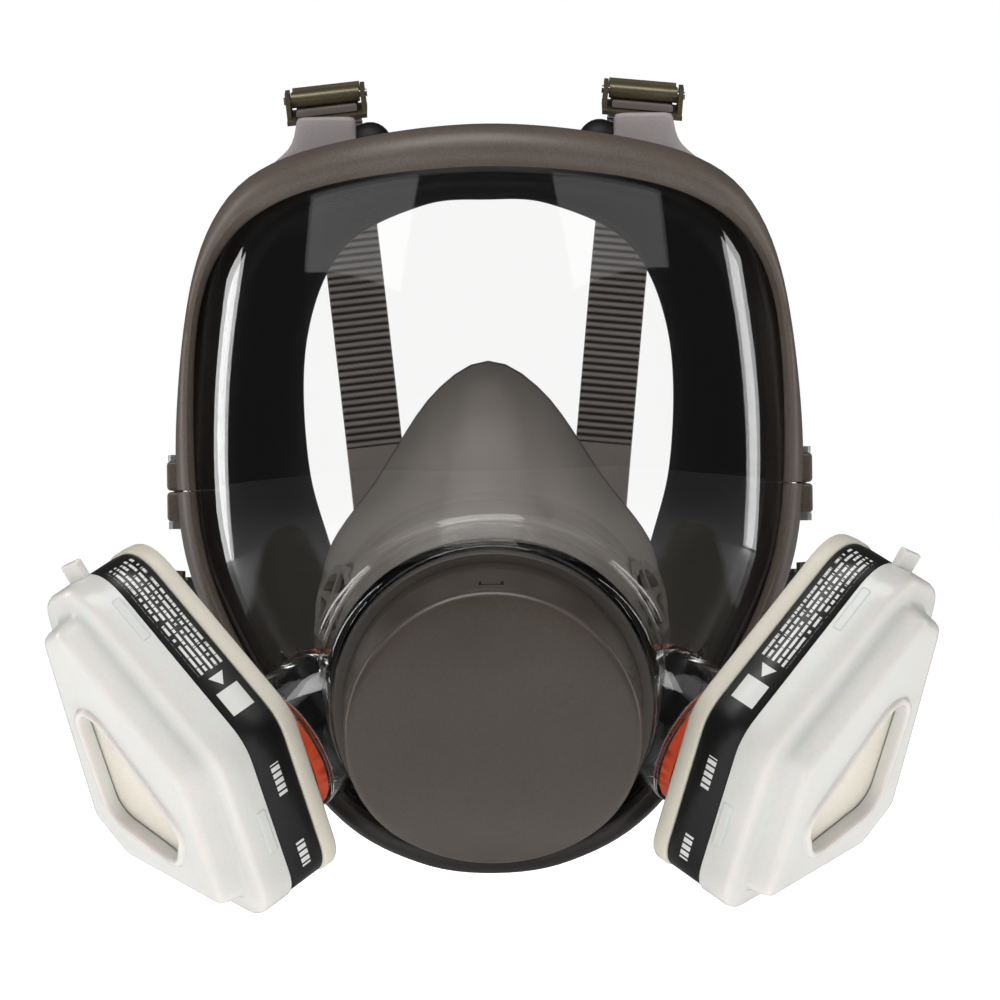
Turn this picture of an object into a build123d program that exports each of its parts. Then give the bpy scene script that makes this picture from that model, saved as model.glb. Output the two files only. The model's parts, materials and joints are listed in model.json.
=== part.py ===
"""Full face respirator: lens facepiece, nose cup, exhalation unit, two cartridges and a strap harness.

Frame: origin at the centre of the face opening, +Z up, the wearer looks along -Y, and +X is on the
right for someone who looks at the front of the mask.  All sizes are in millimetres.
"""
from build123d import *
import math
import os

os.makedirs("parts", exist_ok=True)

# ---------------------------------------------------------------- driving dimensions
# Lens: a barrel turned about a vertical axis, bulging a little from top to bottom.
LENS_AXIS_Y = 16.0
LENS_RADIUS = 102.0
LENS_PROFILE_RADIUS = 320.0
LENS_WIDEST_Z = 15.0
LENS_THICKNESS = 2.2
BARREL_HALF_HEIGHT = 150.0

# Frame: a clamp ring in two halves that holds the lens on the face seal.
FRAME_PROUD = 5.5
FRAME_DEPTH = 7.0
FRAME_BACK_Y = -14.0
FRAME_WALL = 4.0
FRAME_SPLIT_Z = 4.0
FRAME_GAP = 0.4
LUG_X = 95.3
LUG_Y = -22.0
LUG_WIDTH = 7.5
LUG_DEPTH = 9.0
LUG_HEIGHT = 9.0
SCREW_X = 96.0
SCREW_RADIUS = 1.6
SCREW_HEAD_RADIUS = 2.9
HEAD_POCKET_RADIUS = 3.4
HEAD_POCKET_DEPTH = 10.0
FIT_GAP = 0.2

# Face seal: a wall behind the lens and a flap that follows the head.
SEAL_WALL = 3.6
HEAD_RADIUS = 120.0
HEAD_AXIS_Y = 102.0
FLAP_THICKNESS = 3.0

# Exhalation unit: its axis leans down from the horizontal.
CENTER_Y = -92.0
CENTER_Z = -57.0
CENTER_LEAN = math.radians(11)
NECK_FRONT_RADIUS = 46.0
NECK_REAR_RADIUS = 52.0
NECK_WALL = 2.4
ADAPTER_RADIUS = 39.0
COVER_RADIUS = 42.3
VALVE_LIFT = 1.5

# Ports and cartridges: the left port; the right one is its mirror image.
PORT_ORIGIN = (-64.1, -69.7, -73.4)
PORT_AXIS = (-0.718, -0.5, -0.484)
PORT_LENGTHWISE = (0.559, 0.0, -0.829)
PORT_BODY_RADIUS = 20.5
PORT_BORE_RADIUS = 18.0
PORT_TUBE_RADIUS = 14.5
LUG_REACH = 16.9
LUG_ARC = 40.0
BODY_DEPTH = 24.0
BACK_DEPTH = 5.2
LABEL_END = 17.5
PLATEAU_START = 28.5
PLATEAU_END = 37.0

# Harness.
UPPER_TAB_X = 49.0
UPPER_TAB_Y = -20.0
LOWER_TAB_Z = -34.0
STRAP_WIDTH = 19.0
STRAP_THICKNESS = 1.8
UPPER_STRAP_LEAN = 14.0
UPPER_STRAP_DROP = 141.0
PIN_RADIUS = 1.2
PIN_CLEARANCE = 0.06

# Half outlines seen from the front, from the top centre to the bottom centre (x, z).
FRAME_OUTLINE = [(0, 109.5), (35, 107), (64, 101.6), (80.5, 91), (91, 68), (96.5, 25), (95.5, -8),
                 (87.5, -33), (67.5, -68), (45, -95), (22, -107), (0, -110)]
APERTURE_OUTLINE = [(0, 96.6), (40, 94), (64, 88.3), (79, 78), (87.5, 60.6), (90, 30), (88, -7),
                    (79.5, -34), (62.5, -62), (43, -87), (22, -98.5), (0, -101)]
OPENING_OUTLINE = [(0, 93), (20, 91.5), (45, 79), (57, 51), (57, 12.7), (49, -18), (34, -70), (20, -88),
                   (0, -94)]
NOSE_CUP_OUTLINE = [(0, 42), (17, 32), (34, 7), (50, -17), (49.5, -43), (34, -72), (0, -84)]
CARTRIDGE_CORNERS = [(-72, 16), (-8, 30), (41, -5), (6, -56), (-18, -61), (-75, -9)]
CARTRIDGE_CORNER_RADIUS = 14.0

# ---------------------------------------------------------------- reference planes
CENTER = Plane(origin=(0, CENTER_Y, CENTER_Z), x_dir=(1, 0, 0),
               z_dir=(0, -math.cos(CENTER_LEAN), -math.sin(CENTER_LEAN)))
PORT = Plane(origin=PORT_ORIGIN, x_dir=PORT_LENGTHWISE, z_dir=PORT_AXIS)


# ---------------------------------------------------------------- helpers
def keep(name, part):
    """Label a finished piece and write its file."""
    part.label = name
    export_step(part, f"parts/{name}.step")


def keep_pair(name, left):
    """Write a left piece and its mirror image on the right."""
    keep(f"left_{name}", left)
    keep(f"right_{name}", mirror(left, about=Plane.YZ))


def inset(points, distance):
    """Move a half outline inwards by a distance, square to its own run."""
    moved = []
    for index, (x, z) in enumerate(points):
        before = points[index - 1] if index else (-points[1][0], points[1][1])
        after = points[index + 1] if index + 1 < len(points) else (-points[-2][0], points[-2][1])
        run = Vector(after[0] - before[0], after[1] - before[1]).normalized()
        moved.append((x + run.Y * distance, z - run.X * distance))
    return moved


def outline_face(plane, points):
    """Face bounded by a half outline and its mirror image."""
    with BuildSketch(plane) as face:
        with BuildLine():
            Spline(*points, tangents=((1, 0), (-1, 0)))
            mirror(about=Plane.YZ)
        make_face()
    return face.sketch


def outline_block(points, back_y, front_y=-130.0):
    """Block with a front-view outline, between two depths."""
    with BuildPart() as block:
        extrude(outline_face(Plane.XZ.offset(-back_y), points), amount=back_y - front_y)
    return block.part


def barrel(grow):
    """Solid inside the lens surface when that is moved outwards by a distance."""
    bulge = LENS_PROFILE_RADIUS + grow
    sag = bulge - math.sqrt(bulge ** 2 - BARREL_HALF_HEIGHT ** 2)
    low, high = LENS_WIDEST_Z - BARREL_HALF_HEIGHT, LENS_WIDEST_Z + BARREL_HALF_HEIGHT
    middle = LENS_AXIS_Y + LENS_RADIUS + grow
    with BuildPart() as solid:
        with BuildSketch(Plane.YZ):
            with BuildLine():
                ThreePointArc((middle - sag, low), (middle, LENS_WIDEST_Z), (middle - sag, high))
                Polyline((middle - sag, high), (LENS_AXIS_Y, high), (LENS_AXIS_Y, low), (middle - sag, low))
            make_face()
        revolve(axis=Axis((0, LENS_AXIS_Y, 0), (0, 0, 1)))
    return solid.part


def head(radius):
    """Upright cylinder that stands for the wearer's face."""
    with BuildPart() as solid:
        with BuildSketch(Plane.XY.offset(-BARREL_HALF_HEIGHT)):
            with Locations((0, HEAD_AXIS_Y)):
                Circle(radius)
        extrude(amount=2 * BARREL_HALF_HEIGHT)
    return solid.part


def tube(plane, outer, inner, start, end):
    """Round tube square to a plane, or a disc when the inner radius is zero."""
    with BuildPart() as solid:
        with BuildSketch(plane.offset(start)):
            Circle(outer)
            if inner:
                Circle(inner, mode=Mode.SUBTRACT)
        extrude(amount=end - start)
    return solid.part


def cone(plane, start, start_radius, end, end_radius):
    """Solid cone frustum square to a plane."""
    with BuildPart() as solid:
        for height, radius in ((start, start_radius), (end, end_radius)):
            with BuildSketch(plane.offset(height)):
                Circle(radius)
        loft()
    return solid.part


def spider(plane, radius, hub, spokes, width, start, end):
    """Valve seat: a hub on straight spokes inside a round opening."""
    with BuildPart() as solid:
        with BuildSketch(plane.offset(start)):
            Circle(hub)
            with PolarLocations(0, spokes):
                Rectangle(radius, width, align=(Align.MIN, Align.CENTER))
        extrude(amount=end - start)
    return solid.part


def sector_ring(plane, outer, inner, start, end, count, arc, turn=0.0):
    """Separate arc-shaped lugs, evenly spaced round a plane's axis."""
    with BuildPart() as solid:
        with BuildSketch(plane.offset(start)):
            with PolarLocations(0, count, start_angle=turn):
                with BuildLine():
                    half = math.radians(arc / 2)
                    far = 2 * outer
                    Polyline((0, 0), (far * math.cos(half), far * math.sin(half)),
                             (far * math.cos(half), -far * math.sin(half)), (0, 0))
                make_face()
            Circle(outer, mode=Mode.INTERSECT)
            Circle(inner, mode=Mode.SUBTRACT)
        extrude(amount=end - start)
    return solid.part


# ---------------------------------------------------------------- facepiece lens
LENS_OUTLINE = inset(FRAME_OUTLINE, FRAME_WALL)
RIGHT_PORT = Plane(origin=(-PORT_ORIGIN[0], PORT_ORIGIN[1], PORT_ORIGIN[2]),
                   x_dir=(-PORT_LENGTHWISE[0], 0, PORT_LENGTHWISE[2]),
                   z_dir=(-PORT_AXIS[0], PORT_AXIS[1], PORT_AXIS[2]))

with BuildPart() as lens:
    add(outline_block(LENS_OUTLINE, FRAME_BACK_Y))
    add(barrel(0), mode=Mode.INTERSECT)
    add(cone(CENTER, -30, NECK_REAR_RADIUS, 4, NECK_FRONT_RADIUS))
    for port in (PORT, RIGHT_PORT):
        add(tube(port, PORT_BODY_RADIUS, 0, -34, -4))
    add(barrel(-LENS_THICKNESS), mode=Mode.SUBTRACT)
    add(cone(CENTER, -40, NECK_REAR_RADIUS + 1, 4, NECK_FRONT_RADIUS - NECK_WALL), mode=Mode.SUBTRACT)
    for port in (PORT, RIGHT_PORT):
        add(tube(port, PORT_BORE_RADIUS, 0, -60, -6.5), mode=Mode.SUBTRACT)
        add(tube(port, PORT_TUBE_RADIUS, 0, -6.5, 7))
        add(sector_ring(port, LUG_REACH, PORT_TUBE_RADIUS - 1, 4.2, 7, 3, LUG_ARC))
        add(tube(port, PORT_TUBE_RADIUS - 2, 0, -8, 8), mode=Mode.SUBTRACT)
        add(spider(port, PORT_TUBE_RADIUS - 1, 3, 3, 2, -6.5, -4))
keep("lens", lens.part)

# ---------------------------------------------------------------- frame halves
LENS_SEAT = outline_block(LENS_OUTLINE, FRAME_BACK_Y + 1) & barrel(0)

with BuildPart() as frame_ring:
    add(outline_block(FRAME_OUTLINE, FRAME_BACK_Y))
    add(outline_block(APERTURE_OUTLINE, FRAME_BACK_Y + 1, -140), mode=Mode.SUBTRACT)
    add(barrel(FRAME_PROUD), mode=Mode.INTERSECT)
    add(barrel(-FRAME_DEPTH), mode=Mode.SUBTRACT)
    add(LENS_SEAT, mode=Mode.SUBTRACT)


def frame_half(upward):
    """One half of the clamp ring, with the two lugs that the side screws pull together."""
    near = FRAME_SPLIT_Z + upward * FRAME_GAP / 2
    with BuildPart() as half:
        add(frame_ring.part)
        with BuildSketch(Plane.XY.offset(near)):
            for side in (-1, 1):
                with Locations((side * LUG_X, LUG_Y)):
                    Rectangle(LUG_WIDTH, LUG_DEPTH)
        extrude(amount=upward * LUG_HEIGHT)
        with BuildSketch(Plane.XY.offset(near)):
            Rectangle(300, 300)
        extrude(amount=upward * 200, mode=Mode.INTERSECT)
        add(LENS_SEAT, mode=Mode.SUBTRACT)
        add(cone(CENTER, -30, NECK_REAR_RADIUS + FIT_GAP, 4, NECK_FRONT_RADIUS + FIT_GAP),
            mode=Mode.SUBTRACT)
        for port in (PORT, RIGHT_PORT):
            add(tube(port, PORT_BODY_RADIUS + FIT_GAP, 0, -60, 10), mode=Mode.SUBTRACT)
        with BuildSketch(Plane.XY.offset(-50)):
            for side in (-1, 1):
                with Locations((side * SCREW_X, LUG_Y)):
                    Circle(SCREW_RADIUS + 0.1)
        extrude(amount=100, mode=Mode.SUBTRACT)
        for side in (-1, 1):
            spot = Plane(origin=(side * SCREW_X, LUG_Y, near + upward * LUG_HEIGHT), z_dir=(0, 0, upward))
            add(tube(spot, HEAD_POCKET_RADIUS, 0, 0, HEAD_POCKET_DEPTH), mode=Mode.SUBTRACT)
    return half.part


FRAME_UPPER = frame_half(1)
FRAME_LOWER = frame_half(-1)
keep("frame_upper", FRAME_UPPER)
keep("frame_lower", FRAME_LOWER)

SCREW_TOP = FRAME_SPLIT_Z + FRAME_GAP / 2 + LUG_HEIGHT
SCREW_FOOT = FRAME_SPLIT_Z - FRAME_GAP / 2 - LUG_HEIGHT
with BuildPart() as frame_screws:
    for side in (-1, 1):
        spot = Plane(origin=(side * SCREW_X, LUG_Y, 0), z_dir=(0, 0, 1))
        add(tube(spot, SCREW_RADIUS, 0, SCREW_FOOT - 1.5, SCREW_TOP))
        add(tube(spot, SCREW_HEAD_RADIUS, 0, SCREW_TOP, SCREW_TOP + 2))
        with BuildSketch(spot.offset(SCREW_TOP + 2)):
            Rectangle(5, 0.9)
        extrude(amount=-0.9, mode=Mode.SUBTRACT)
keep("frame_screws", frame_screws.part)

with BuildPart() as frame_nuts:
    for side in (-1, 1):
        with BuildSketch(Plane(origin=(side * SCREW_X, LUG_Y, SCREW_FOOT), z_dir=(0, 0, -1))):
            RegularPolygon(3, 6)
            Circle(SCREW_RADIUS, mode=Mode.SUBTRACT)
        extrude(amount=2.4)
keep("frame_nuts", frame_nuts.part)

# ---------------------------------------------------------------- face seal
WALL_OUTER = inset(FRAME_OUTLINE, FRAME_WALL + 0.3)
WALL_INNER = inset(FRAME_OUTLINE, FRAME_WALL + 0.3 + SEAL_WALL)

with BuildPart() as face_seal:
    add(outline_block(WALL_OUTER, 45))
    add(barrel(-LENS_THICKNESS), mode=Mode.INTERSECT)
    with BuildPart(mode=Mode.PRIVATE) as cavity:
        add(outline_block(WALL_INNER, 46))
        add(head(HEAD_RADIUS + FLAP_THICKNESS), mode=Mode.SUBTRACT)
    add(cavity.part, mode=Mode.SUBTRACT)
    add(outline_block(OPENING_OUTLINE, 46), mode=Mode.SUBTRACT)
    add(head(HEAD_RADIUS), mode=Mode.SUBTRACT)
    add(FRAME_UPPER, mode=Mode.SUBTRACT)
    add(FRAME_LOWER, mode=Mode.SUBTRACT)
FACE_SEAL = face_seal.part
keep("face_seal", FACE_SEAL)

# ---------------------------------------------------------------- exhalation unit
with BuildPart() as center_adapter:
    add(tube(CENTER, ADAPTER_RADIUS, ADAPTER_RADIUS - 2.5, -24, 6))
    add(tube(CENTER, 45, ADAPTER_RADIUS - 2.5, 4.2, 9))
    add(tube(CENTER, ADAPTER_RADIUS - 2.5, 30, 2, 5))
    add(spider(CENTER, 31, 5, 6, 2.6, 2, 5))
keep("center_adapter", center_adapter.part)

keep("adapter_gasket", tube(CENTER, 42.6, ADAPTER_RADIUS + 0.1, -2, 4.1))

VALVE_RADIUS = 32.0
with BuildPart() as exhalation_valve:
    add(tube(CENTER, VALVE_RADIUS, 0, 5.2, 6.2))
    add(tube(CENTER, 4, 0, 6.2, 8))
keep("exhalation_valve", exhalation_valve.part)

COVER_BACK = 9.4
COVER_FRONT = 36.0
COVER_WALL = 2.2
COVER_SIDE = Plane(origin=(60, CENTER_Y, CENTER_Z), x_dir=CENTER.z_dir, z_dir=(-1, 0, 0))


def cover_shape(shrink, back):
    """Domed cover as a solid, moved inwards all round by a distance."""
    front = COVER_FRONT - shrink
    with BuildPart() as solid:
        add(cone(CENTER, back, COVER_RADIUS - shrink, front + 8, COVER_RADIUS - 3 - shrink))
        with BuildSketch(COVER_SIDE):
            with BuildLine():
                Polyline((0, 60), (front, 60), (front + 0.5, 38), (front + 3.5, 20), (front + 4.8, 0),
                         (front + 4, -12), (front - 1.5, -26), (front - 11, -39), (front - 24, -60),
                         (0, -60), (0, 60))
            make_face()
        extrude(amount=120, mode=Mode.INTERSECT)
    return solid.part


EXHAUST = Plane(origin=(20, CENTER_Y, CENTER_Z), x_dir=CENTER.z_dir, z_dir=(-1, 0, 0))
LATCH = Plane(origin=(3.2, CENTER_Y, CENTER_Z), x_dir=CENTER.z_dir, z_dir=(-1, 0, 0))

with BuildPart() as exhalation_cover:
    add(cover_shape(0, COVER_BACK))
    add(cover_shape(COVER_WALL, COVER_BACK - 1), mode=Mode.SUBTRACT)
    with BuildSketch(EXHAUST):
        with Locations((17, -40)):
            Rectangle(8, 14)
    extrude(amount=40, mode=Mode.SUBTRACT)
    with BuildSketch(LATCH):
        with Locations((28, 40)):
            Rectangle(1.2, 8)
    extrude(amount=6.4, mode=Mode.SUBTRACT)
keep("exhalation_cover", exhalation_cover.part)

# ---------------------------------------------------------------- nose cup
CUP_BACK_Y = -21.0
CUP_WALL = 2.0
CUP_COLLAR = -14.0


def cup_shape(radius, shrink):
    """Solid from a circle round the adapter to the pear-shaped rim against the face."""
    with BuildPart() as solid:
        with BuildSketch(CENTER.offset(CUP_COLLAR)):
            with BuildLine():
                ThreePointArc((0, radius), (radius, 0), (0, -radius))
                mirror(about=Plane.YZ)
            make_face()
        add(outline_face(Plane.XZ.offset(-CUP_BACK_Y), inset(NOSE_CUP_OUTLINE, shrink)))
        loft()
    return solid.part


CUP_VALVE_PLANE = Plane(origin=(-41.5, -51.5, -31), x_dir=(0, 0, 1), z_dir=(-0.85, -0.5, 0.15))
RIGHT_CUP_VALVE_PLANE = Plane(origin=(41.5, -51.5, -31), x_dir=(0, 0, 1), z_dir=(0.85, -0.5, 0.15))
CUP_HOLE_RADIUS = 9.0
CUP_SEAT_RADIUS = 11.5
CUP_SEAT_START = -3.5
CUP_SEAT_END = 5.0

with BuildPart() as nose_cup:
    add(cup_shape(41.3, 0))
    add(tube(CENTER, 41.3, 0, CUP_COLLAR, -5))
    add(cup_shape(39.1, CUP_WALL), mode=Mode.SUBTRACT)
    add(tube(CENTER, 39.1, 0, CUP_COLLAR, -4), mode=Mode.SUBTRACT)
    for seat in (CUP_VALVE_PLANE, RIGHT_CUP_VALVE_PLANE):
        add(tube(seat, CUP_SEAT_RADIUS, 0, -9, 9), mode=Mode.SUBTRACT)
keep("nose_cup", nose_cup.part)

with BuildPart() as cup_seat:
    add(tube(CUP_VALVE_PLANE, CUP_SEAT_RADIUS, CUP_HOLE_RADIUS, CUP_SEAT_START, CUP_SEAT_END))
    add(spider(CUP_VALVE_PLANE, CUP_HOLE_RADIUS + 1, 2.5, 5, 1.8, 2.4, CUP_SEAT_END))
keep_pair("nose_cup_valve_seat", cup_seat.part)
keep_pair("nose_cup_valve", tube(CUP_VALVE_PLANE, CUP_HOLE_RADIUS + 1.6, 0,
                                 CUP_SEAT_START - 1.2, CUP_SEAT_START - 0.3))

# ---------------------------------------------------------------- ports
keep_pair("port_gasket", tube(PORT, 19.4, PORT_TUBE_RADIUS + 0.3, -3.9, -0.3))
keep_pair("inhalation_valve", tube(PORT, 15.5, 0, -7.8, -6.9))


# ---------------------------------------------------------------- cartridges
def cartridge_block(start, end, shrink, corners=CARTRIDGE_CORNERS, radius=CARTRIDGE_CORNER_RADIUS):
    """Rounded block square to the port axis, with its outline moved inwards."""
    with BuildPart() as block:
        with BuildSketch(PORT.offset(start)) as outline:
            with BuildLine():
                Polyline(*corners, close=True)
            make_face()
            fillet(outline.vertices(), radius)
            if shrink:
                offset(amount=-shrink)
        extrude(amount=end - start)
    return block.part


SHELL_STEP = 2.2
SHELL_WALL = 2.0
SOCKET_DEPTH = 8.2
SOCKET_RADIUS = LUG_REACH + 0.7
BED_START = SOCKET_DEPTH + 2.0
BED_END = 22.0

with BuildPart() as cartridge_shell:
    add(cartridge_block(0, BACK_DEPTH, 0))
    add(cartridge_block(BACK_DEPTH, BODY_DEPTH, SHELL_STEP))
    add(cartridge_block(BACK_DEPTH, BODY_DEPTH + 1, SHELL_STEP + SHELL_WALL), mode=Mode.SUBTRACT)
    add(tube(PORT, SOCKET_RADIUS + 1.6, 0, BACK_DEPTH - 1, BED_START) & cartridge_block(0, BODY_DEPTH, 3))
    add(tube(PORT, SOCKET_RADIUS, 0, 3.6, SOCKET_DEPTH), mode=Mode.SUBTRACT)
    add(tube(PORT, PORT_TUBE_RADIUS + 0.6, 0, -1, 4), mode=Mode.SUBTRACT)
    add(sector_ring(PORT, LUG_REACH + 0.4, PORT_TUBE_RADIUS - 1, -1, 4, 3, LUG_ARC + 6, 60),
        mode=Mode.SUBTRACT)
    add(tube(PORT, 10, 0, SOCKET_DEPTH - 1, SOCKET_DEPTH + 3), mode=Mode.SUBTRACT)
keep_pair("cartridge_shell", cartridge_shell.part)

with BuildPart() as label_band:
    add(cartridge_block(BACK_DEPTH, LABEL_END, 0.6))
    add(cartridge_block(BACK_DEPTH - 1, LABEL_END + 1, SHELL_STEP), mode=Mode.SUBTRACT)
keep_pair("label_band", label_band.part)

keep_pair("carbon_bed",
          cartridge_block(BED_START + FIT_GAP, BED_END, SHELL_STEP + SHELL_WALL + FIT_GAP))

with BuildPart() as cartridge_grille:
    add(cartridge_block(BED_END + FIT_GAP, BODY_DEPTH, SHELL_STEP + SHELL_WALL + 0.1))
    with BuildSketch(PORT.offset(BED_END)):
        with Locations((-18, -15)):
            with GridLocations(8, 0, 9, 1):
                Rectangle(4.5, 34)
    extrude(amount=4, mode=Mode.SUBTRACT)
keep_pair("cartridge_grille", cartridge_grille.part)

# ---------------------------------------------------------------- prefilters and their retainers
RETAINER_WALL = 1.7
SHOULDER = 8.0
PLATEAU_LEAN = 2.0
WINDOW_CORNERS = [(-52, -6), (3, -1), (10, -16), (-12, -37)]
WINDOW_RADIUS = 6.0

with BuildPart() as prefilter_retainer:
    add(cartridge_block(LABEL_END + 0.4, PLATEAU_START, 0))
    add(cartridge_block(PLATEAU_START - 1, PLATEAU_END, SHOULDER))
    add(cartridge_block(0, PLATEAU_START - RETAINER_WALL, RETAINER_WALL), mode=Mode.SUBTRACT)
    add(cartridge_block(0, PLATEAU_END - RETAINER_WALL, SHOULDER + RETAINER_WALL), mode=Mode.SUBTRACT)
    add(cartridge_block(PLATEAU_END - 1, PLATEAU_END + 1.4, -2, WINDOW_CORNERS, WINDOW_RADIUS))
    add(cartridge_block(PLATEAU_START, PLATEAU_END + 3, 0, WINDOW_CORNERS, WINDOW_RADIUS),
        mode=Mode.SUBTRACT)
keep_pair("prefilter_retainer", prefilter_retainer.part)
keep_pair("prefilter", cartridge_block(BODY_DEPTH + 0.6, PLATEAU_END - RETAINER_WALL - 0.4,
                                       SHOULDER + RETAINER_WALL + 0.3))

# ---------------------------------------------------------------- buckles
upper_strap_plane = Plane(origin=(-UPPER_TAB_X, 0, 121), x_dir=(0, 1, 0),
                          z_dir=Vector(0, 1, 0).cross(Vector(-UPPER_STRAP_LEAN, 0, UPPER_STRAP_DROP)))
UPPER_BUCKLE = Plane(origin=(-UPPER_TAB_X, -9, 121), x_dir=upper_strap_plane.z_dir,
                     z_dir=upper_strap_plane.x_dir * -0.342 + upper_strap_plane.y_dir * 0.94)
LOWER_BUCKLE = Plane(origin=(-103.5, 32.8, LOWER_TAB_Z), x_dir=(0, 0, 1), z_dir=(-0.893, -0.45, 0))
BUCKLE_HALF_WIDTH = 12.4
CHEEK = 1.4
PIN_HEIGHT = 6.0
PIN_Y = -1.0
KNUCKLE_RADIUS = 2.4


def buckle_block(plane, corners, low_x, high_x):
    """Prism across a buckle from a side profile of (along the strap, outwards) points."""
    side = Plane(origin=plane.origin, x_dir=plane.y_dir, z_dir=plane.x_dir)
    with BuildPart() as block:
        with BuildSketch(side.offset(low_x)):
            with BuildLine():
                Polyline(*corners, close=True)
            make_face()
        extrude(amount=high_x - low_x)
    return block.part


def pin_line(plane):
    """Plane whose normal is the buckle's pin."""
    centre = plane.origin + plane.y_dir * PIN_Y + plane.z_dir * PIN_HEIGHT
    return Plane(origin=centre, x_dir=plane.y_dir, z_dir=plane.x_dir)


def buckle_frame(plane):
    """Base plate with a front bar and two cheeks."""
    with BuildPart() as frame:
        add(buckle_block(plane, [(-10, 0), (8, 0), (8, 1.2), (-10, 1.2)],
                         -BUCKLE_HALF_WIDTH, BUCKLE_HALF_WIDTH))
        for side in (-1, 1):
            low, high = sorted((side * BUCKLE_HALF_WIDTH, side * (BUCKLE_HALF_WIDTH - CHEEK)))
            add(buckle_block(plane, [(-7, 0), (6, 0), (3.5, 8.6), (-4, 8.6)], low, high))
        add(tube(pin_line(plane), PIN_RADIUS, 0, -20, 20), mode=Mode.SUBTRACT)
    return frame.part


def buckle_pin(plane):
    """Pin through both cheeks."""
    return tube(pin_line(plane), PIN_RADIUS, 0, -BUCKLE_HALF_WIDTH - 0.6, BUCKLE_HALF_WIDTH + 0.6)


def buckle_lever(plane):
    """Lever that turns on the pin and holds the strap down."""
    half = BUCKLE_HALF_WIDTH - CHEEK - 0.4
    with BuildPart() as lever:
        add(tube(pin_line(plane), KNUCKLE_RADIUS, 0, -half, half))
        add(buckle_block(plane, [(-1, 6), (-0.5, 8.3), (10, 6.6), (11.5, 7.4), (12, 6.2),
                                 (10.5, 5), (0, 5.6)], -half, half))
        add(tube(pin_line(plane), PIN_RADIUS + PIN_CLEARANCE, 0, -half - 1, half + 1), mode=Mode.SUBTRACT)
    return lever.part


keep_pair("upper_buckle_frame", buckle_frame(UPPER_BUCKLE))
keep_pair("lower_buckle_frame", buckle_frame(LOWER_BUCKLE))
keep_pair("upper_buckle_lever", buckle_lever(UPPER_BUCKLE))
keep_pair("lower_buckle_lever", buckle_lever(LOWER_BUCKLE))
PINS = [buckle_pin(UPPER_BUCKLE), buckle_pin(LOWER_BUCKLE)]
PINS += [mirror(pin, about=Plane.YZ) for pin in PINS]
with BuildPart() as buckle_pins:
    for pin in PINS:
        add(pin)
keep("buckle_pins", buckle_pins.part)

# ---------------------------------------------------------------- strap tabs on the face seal


def upper_tab():
    """Rubber tab on the brow of the seal that the upper buckle hangs on."""
    with BuildPart() as tab:
        with BuildSketch(Plane.XZ.offset(-UPPER_TAB_Y - 4)):
            with BuildLine():
                Polyline((-UPPER_TAB_X - 17, 95), (-UPPER_TAB_X - 10, 112), (-UPPER_TAB_X - 9, 119),
                         (-UPPER_TAB_X + 9, 119), (-UPPER_TAB_X + 10, 112), (-UPPER_TAB_X + 17, 96),
                         (-UPPER_TAB_X - 17, 95))
            make_face()
        extrude(amount=7)
        fillet(tab.edges().filter_by(Axis.Y), 2)
        add(outline_block(WALL_OUTER, 45), mode=Mode.SUBTRACT)
        add(FRAME_UPPER, mode=Mode.SUBTRACT)
        add(buckle_frame(UPPER_BUCKLE), mode=Mode.SUBTRACT)
    return tab.part


LOWER_TAB = Plane(origin=(-90, 6, LOWER_TAB_Z), x_dir=(0, 0, 1), z_dir=(-0.45, 0.893, 0))


def lower_tab():
    """Rubber tab on the cheek of the seal that the lower buckle hangs on."""
    with BuildPart() as tab:
        with BuildSketch(LOWER_TAB):
            with Locations((0, 1.5)):
                RectangleRounded(26, 8, 3)
        with BuildSketch(LOWER_TAB.offset(22)):
            RectangleRounded(18, 5, 2)
        loft()
        add(outline_block(WALL_OUTER, 45), mode=Mode.SUBTRACT)
        add(FRAME_LOWER, mode=Mode.SUBTRACT)
        add(buckle_frame(LOWER_BUCKLE), mode=Mode.SUBTRACT)
    return tab.part


keep_pair("upper_strap_tab", upper_tab())
keep_pair("lower_strap_tab", lower_tab())

# ---------------------------------------------------------------- harness
PAD_FRONT_Y = 63.4
PAD_THICKNESS = 4.4
PAD_LOW_Z = -70.0
PAD_HIGH_Z = -4.0
PAD_HALF_WIDTH = 40.0


def strap(plane, route, bend):
    """Flat strap of constant width along a filleted route in a plane, centred on that plane."""
    with BuildPart() as band:
        with BuildSketch(plane.offset(-STRAP_WIDTH / 2)):
            with BuildLine():
                FilletPolyline(*route, radius=bend)
                offset(amount=STRAP_THICKNESS, side=Side.LEFT)
            make_face()
        extrude(amount=STRAP_WIDTH)
    return band.part


UPPER_STRAP_ROUTE = [(-15.1, -0.55), (-0.1, 4.85), (22, 3.0), (44, -12), (58, -42), (61.5, -90),
                     (61.5, -141)]
LOWER_STRAP_ROUTE = [(-102.14, 26.77), (-109.34, 41.05), (-103, 60), (-66, 67.9), (-25, 67.9)]
lower_strap_plane = Plane(origin=(0, 0, LOWER_TAB_Z))

keep_pair("upper_strap", strap(upper_strap_plane, UPPER_STRAP_ROUTE, 12))
keep_pair("lower_strap", strap(lower_strap_plane, LOWER_STRAP_ROUTE, 9))

with BuildPart() as crown_pad:
    with BuildSketch(Plane.XZ.offset(-PAD_FRONT_Y - PAD_THICKNESS)):
        with Locations((0, (PAD_LOW_Z + PAD_HIGH_Z) / 2)):
            RectangleRounded(2 * PAD_HALF_WIDTH, PAD_HIGH_Z - PAD_LOW_Z, 14)
    extrude(amount=PAD_THICKNESS)
keep("crown_pad", crown_pad.part)
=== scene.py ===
# %% [markdown]
# # A full face respirator and its finishes
# The hard pieces of this mask were designed in a CAD program and arrive as a fixed frame. This
# notebook gives them their finishes and models again, as finer meshes, what is soft or rounded:
# the seal, the nose cup, the straps, the clamp ring and the filter covers. All sizes in the
# cells are millimetres, and one factor turns them into Blender's metres.

# %% Load the frame
import json
import math

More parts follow.
